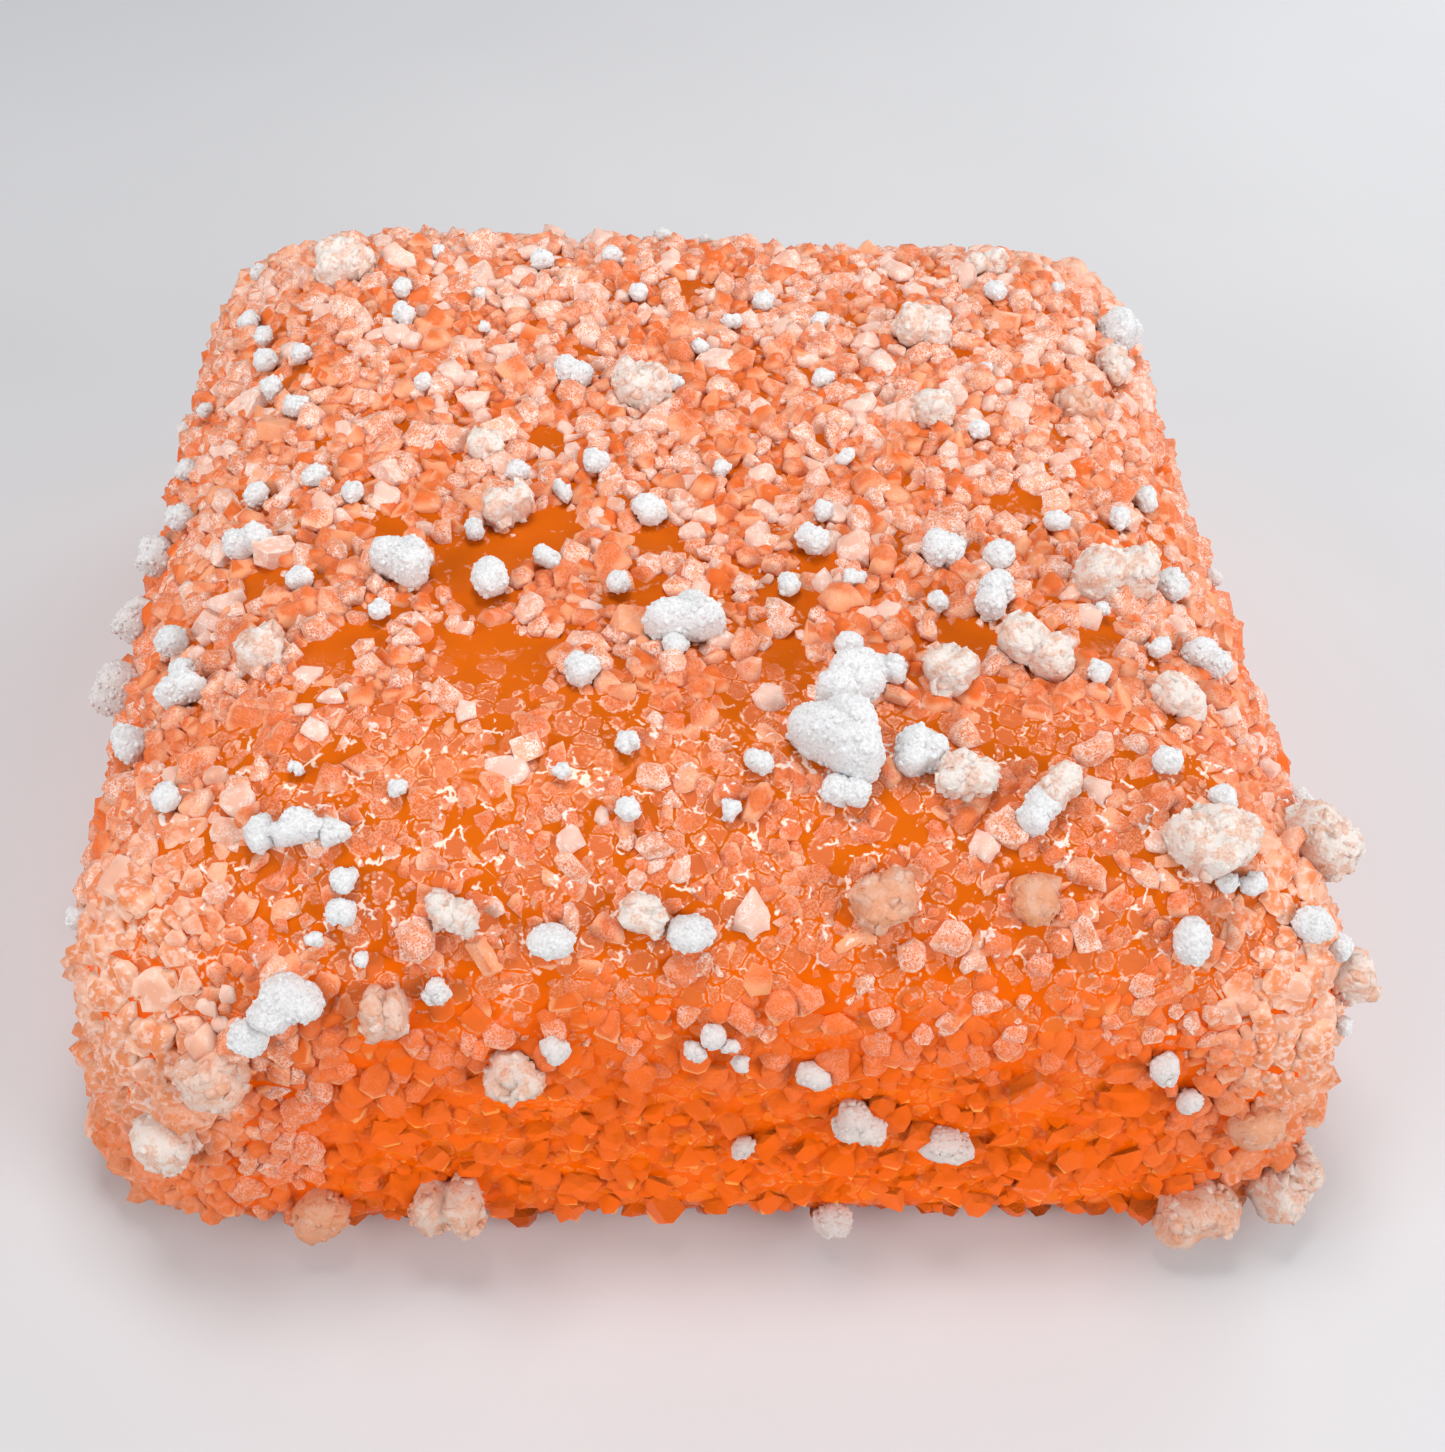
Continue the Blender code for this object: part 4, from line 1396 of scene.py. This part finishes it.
def small_lumps(form: SlabForm, scattered: int = 60, seed: int = 5, sizes: Ends = (0.26, 0.46),
                narrow: Ends = (0.75, 1.0)) -> list[Lump]:
    """The small granules: those of the table, and more by one seeded rule on top and shoulders.

    Args:
        form: the skin.
        scattered: how many more.
        seed: of the draw.
        sizes: of those.
        narrow: how wide a granule is, as a share of its length.
    Returns:
        The granules.
    """
    draw = np.random.default_rng(seed)

    def granule(x: float, y: float, z: float, length: float) -> Lump:
        """A small granule with a drawn width, turn and number of lobes."""
        return Lump(x, y, z, length, length * draw.uniform(*narrow), draw.uniform(-90, 90),
                    int(draw.integers(1, 4)))

    made = [granule(*row) for row in SMALL_SOUR]
    places, _ = form.even_places(scattered * 3, draw)
    upper = places[places[:, 2] > form.shoulder_height][:scattered]
    return made + [granule(*place, draw.uniform(*sizes)) for place in upper]


# ------------------------------------------------------------------------------------------------- studio

# Name, place, width and height, watts
LIGHTS = (
    ("key", (-4, 4, 70), (24, 20), 0.0235), ("front_left", (-85, -60, 45), (70, 60), 0.064),
    ("front_right", (85, -60, 45), (70, 60), 0.08), ("rear", (60, 80, 40), (60, 50), 0.04),
)


@dataclass
class Studio:
    """A plain pale floor, soft lights and the camera at the photograph's viewing angle."""

    pitch: float = 46.57
    yaw: float = 6.76
    roll: float = 5.40
    distance: float = 35.08
    target: Triple = (0.758, -2.633, 4.507)
    focal_pixels: float = 1800.0
    film_width: float = 36.0
    clip: Ends = (1.0, 2000.0)
    floor_half: float = 400.0
    floor_colours: tuple[str, str] = ("#CFCFD1", "#C9C9CB")
    floor_mottle: Noise = Noise(9.0)
    floor_roughness: float = 0.7
    sky: str = "#F2F5FA"
    sky_strength: float = 0.35
    lit_height: float = 4.0               # what the lights are aimed at, over the middle of the floor

    def camera(self) -> None:
        """Adds the camera."""
        pitch, roll = math.radians(self.pitch), math.radians(self.roll)
        back = Vector((0.0, -math.cos(pitch), math.sin(pitch)))
        right = Vector((1.0, 0.0, 0.0))
        up = back.cross(right)
        turned_right = right * math.cos(roll) + up * math.sin(roll)
        turned_up = up * math.cos(roll) - right * math.sin(roll)
        axes = Matrix((turned_right, turned_up, back)).transposed().to_4x4()
        place = Vector(self.target) + back * self.distance
        data = bpy.data.cameras.new("camera")
        data.sensor_width = self.film_width
        data.lens = self.focal_pixels / PICTURE_HIGH * self.film_width
        data.clip_start, data.clip_end = (end * MM for end in self.clip)
        camera = in_scene("camera", data)
        camera.matrix_world = (Matrix.Rotation(-math.radians(self.yaw), 4, "Z")
                               @ Matrix.Translation(place * MM) @ axes)
        bpy.context.scene.camera = camera

    def softbox(self, name: str, place: Triple, size: Ends, watts: float) -> None:
        """Adds one soft light, aimed at the candy, by its place and its width and height in millimetres."""
        data = bpy.data.lights.new(name, "AREA")
        data.shape = "RECTANGLE"
        data.size, data.size_y = (side * MM for side in size)
        data.energy = watts
        light = in_scene(name, data)
        light.location = Vector(place) * MM
        away = Vector(place) - UP * self.lit_height
        light.rotation_euler = away.to_track_quat("Z", "Y").to_euler()

    def floor(self) -> None:
        """Adds the pale floor."""
        bm = bmesh.new()
        bmesh.ops.create_grid(bm, x_segments=8, y_segments=8, size=self.floor_half * MM)
        mesh = bpy.data.meshes.new("floor")
        bm.to_mesh(mesh)
        bm.free()
        finish = Finish("matt_floor")
        shade = finish.blend(finish.noise(self.floor_mottle), *self.floor_colours)
        mesh.materials.append(finish.done(Base_Color=shade, Roughness=self.floor_roughness))
        piece = in_scene("floor", mesh)

    def build(self) -> None:
        """Adds the whole studio."""
        self.camera()
        self.floor()
        for row in LIGHTS:
            self.softbox(*row)
        world = bpy.data.worlds.new("studio")
        world.use_nodes = True
        world.node_tree.nodes.clear()
        glow = add_node(world.node_tree, "Background", {"Color": self.sky, "Strength": self.sky_strength})
        add_node(world.node_tree, "OutputWorld", {"Surface": glow.outputs["Background"]})
        bpy.context.scene.world = world
        bpy.context.scene.view_settings.view_transform = "Standard"


def main() -> None:
    """Builds the candy and its studio."""
    logging.basicConfig(level=logging.INFO)
    form = SlabForm()
    coat = SugarCoat(form)
    Lumps("sour_granules", "sour_granule", CrumbCover(
        "sour_crumbs", CrumbStock(8, 21, 1, 0.25), sizes=(0.08, 0.17), spacing=0.13, sink=(-0.42, -0.16),
    )).build([Lump(*row) for row in SOUR_LUMPS] + small_lumps(form), SourPowder().material(), coat)
    Lumps("caked_sugar_lumps", "sugar_crystal", CrumbCover(
        "caked_crystals", WornStock(12, 22, 12), sizes=(0.18, 0.34), spacing=0.2, sink=(-0.47, -0.3),
    ), crumble=0.2, blockiness=3.0).build(
        [Lump(*row) for row in CAKED_LUMPS], PaleSugarLump().material(), coat)
    # name, how many at most, sizes, closeness, stock: shapes, seed and the kind's own
    coat.build([
        CoatLayer("coarse_sugar", 170, (0.45, 0.7), 0.7, CrystalStock(16, 3, 7), shading=Shading.EASED),
        CoatLayer("frosted_sugar", 2100, (0.4, 0.7), 0.6,
                  CrumbStock(16, 4, 2, 0.26, blockiness=3.2, squareness=0.25)),
        CoatLayer("cleaved_sugar", 3400, (0.34, 0.56), 0.54, WornStock(16, 8, 14), tries=8),
        CoatLayer("sunk_sugar", 7100, (0.32, 0.58), 0.4, WornStock(16, 9, 16), wet_share=0.7, tries=10),
        CoatLayer("fine_sugar", 5000, (0.14, 0.28), 0.5, WornStock(12, 5, 10), tries=10),
        CoatLayer("sugar_dust", 2000, (0.06, 0.14), 0.6, CrumbStock(8, 6, 1, 0.35), tries=3),
    ])
    JellySlab(form).build(coat.grains)
    Studio().build()
    LOG.info("grains: %d", len(coat.grains))


if __name__ == "__main__":
    main()
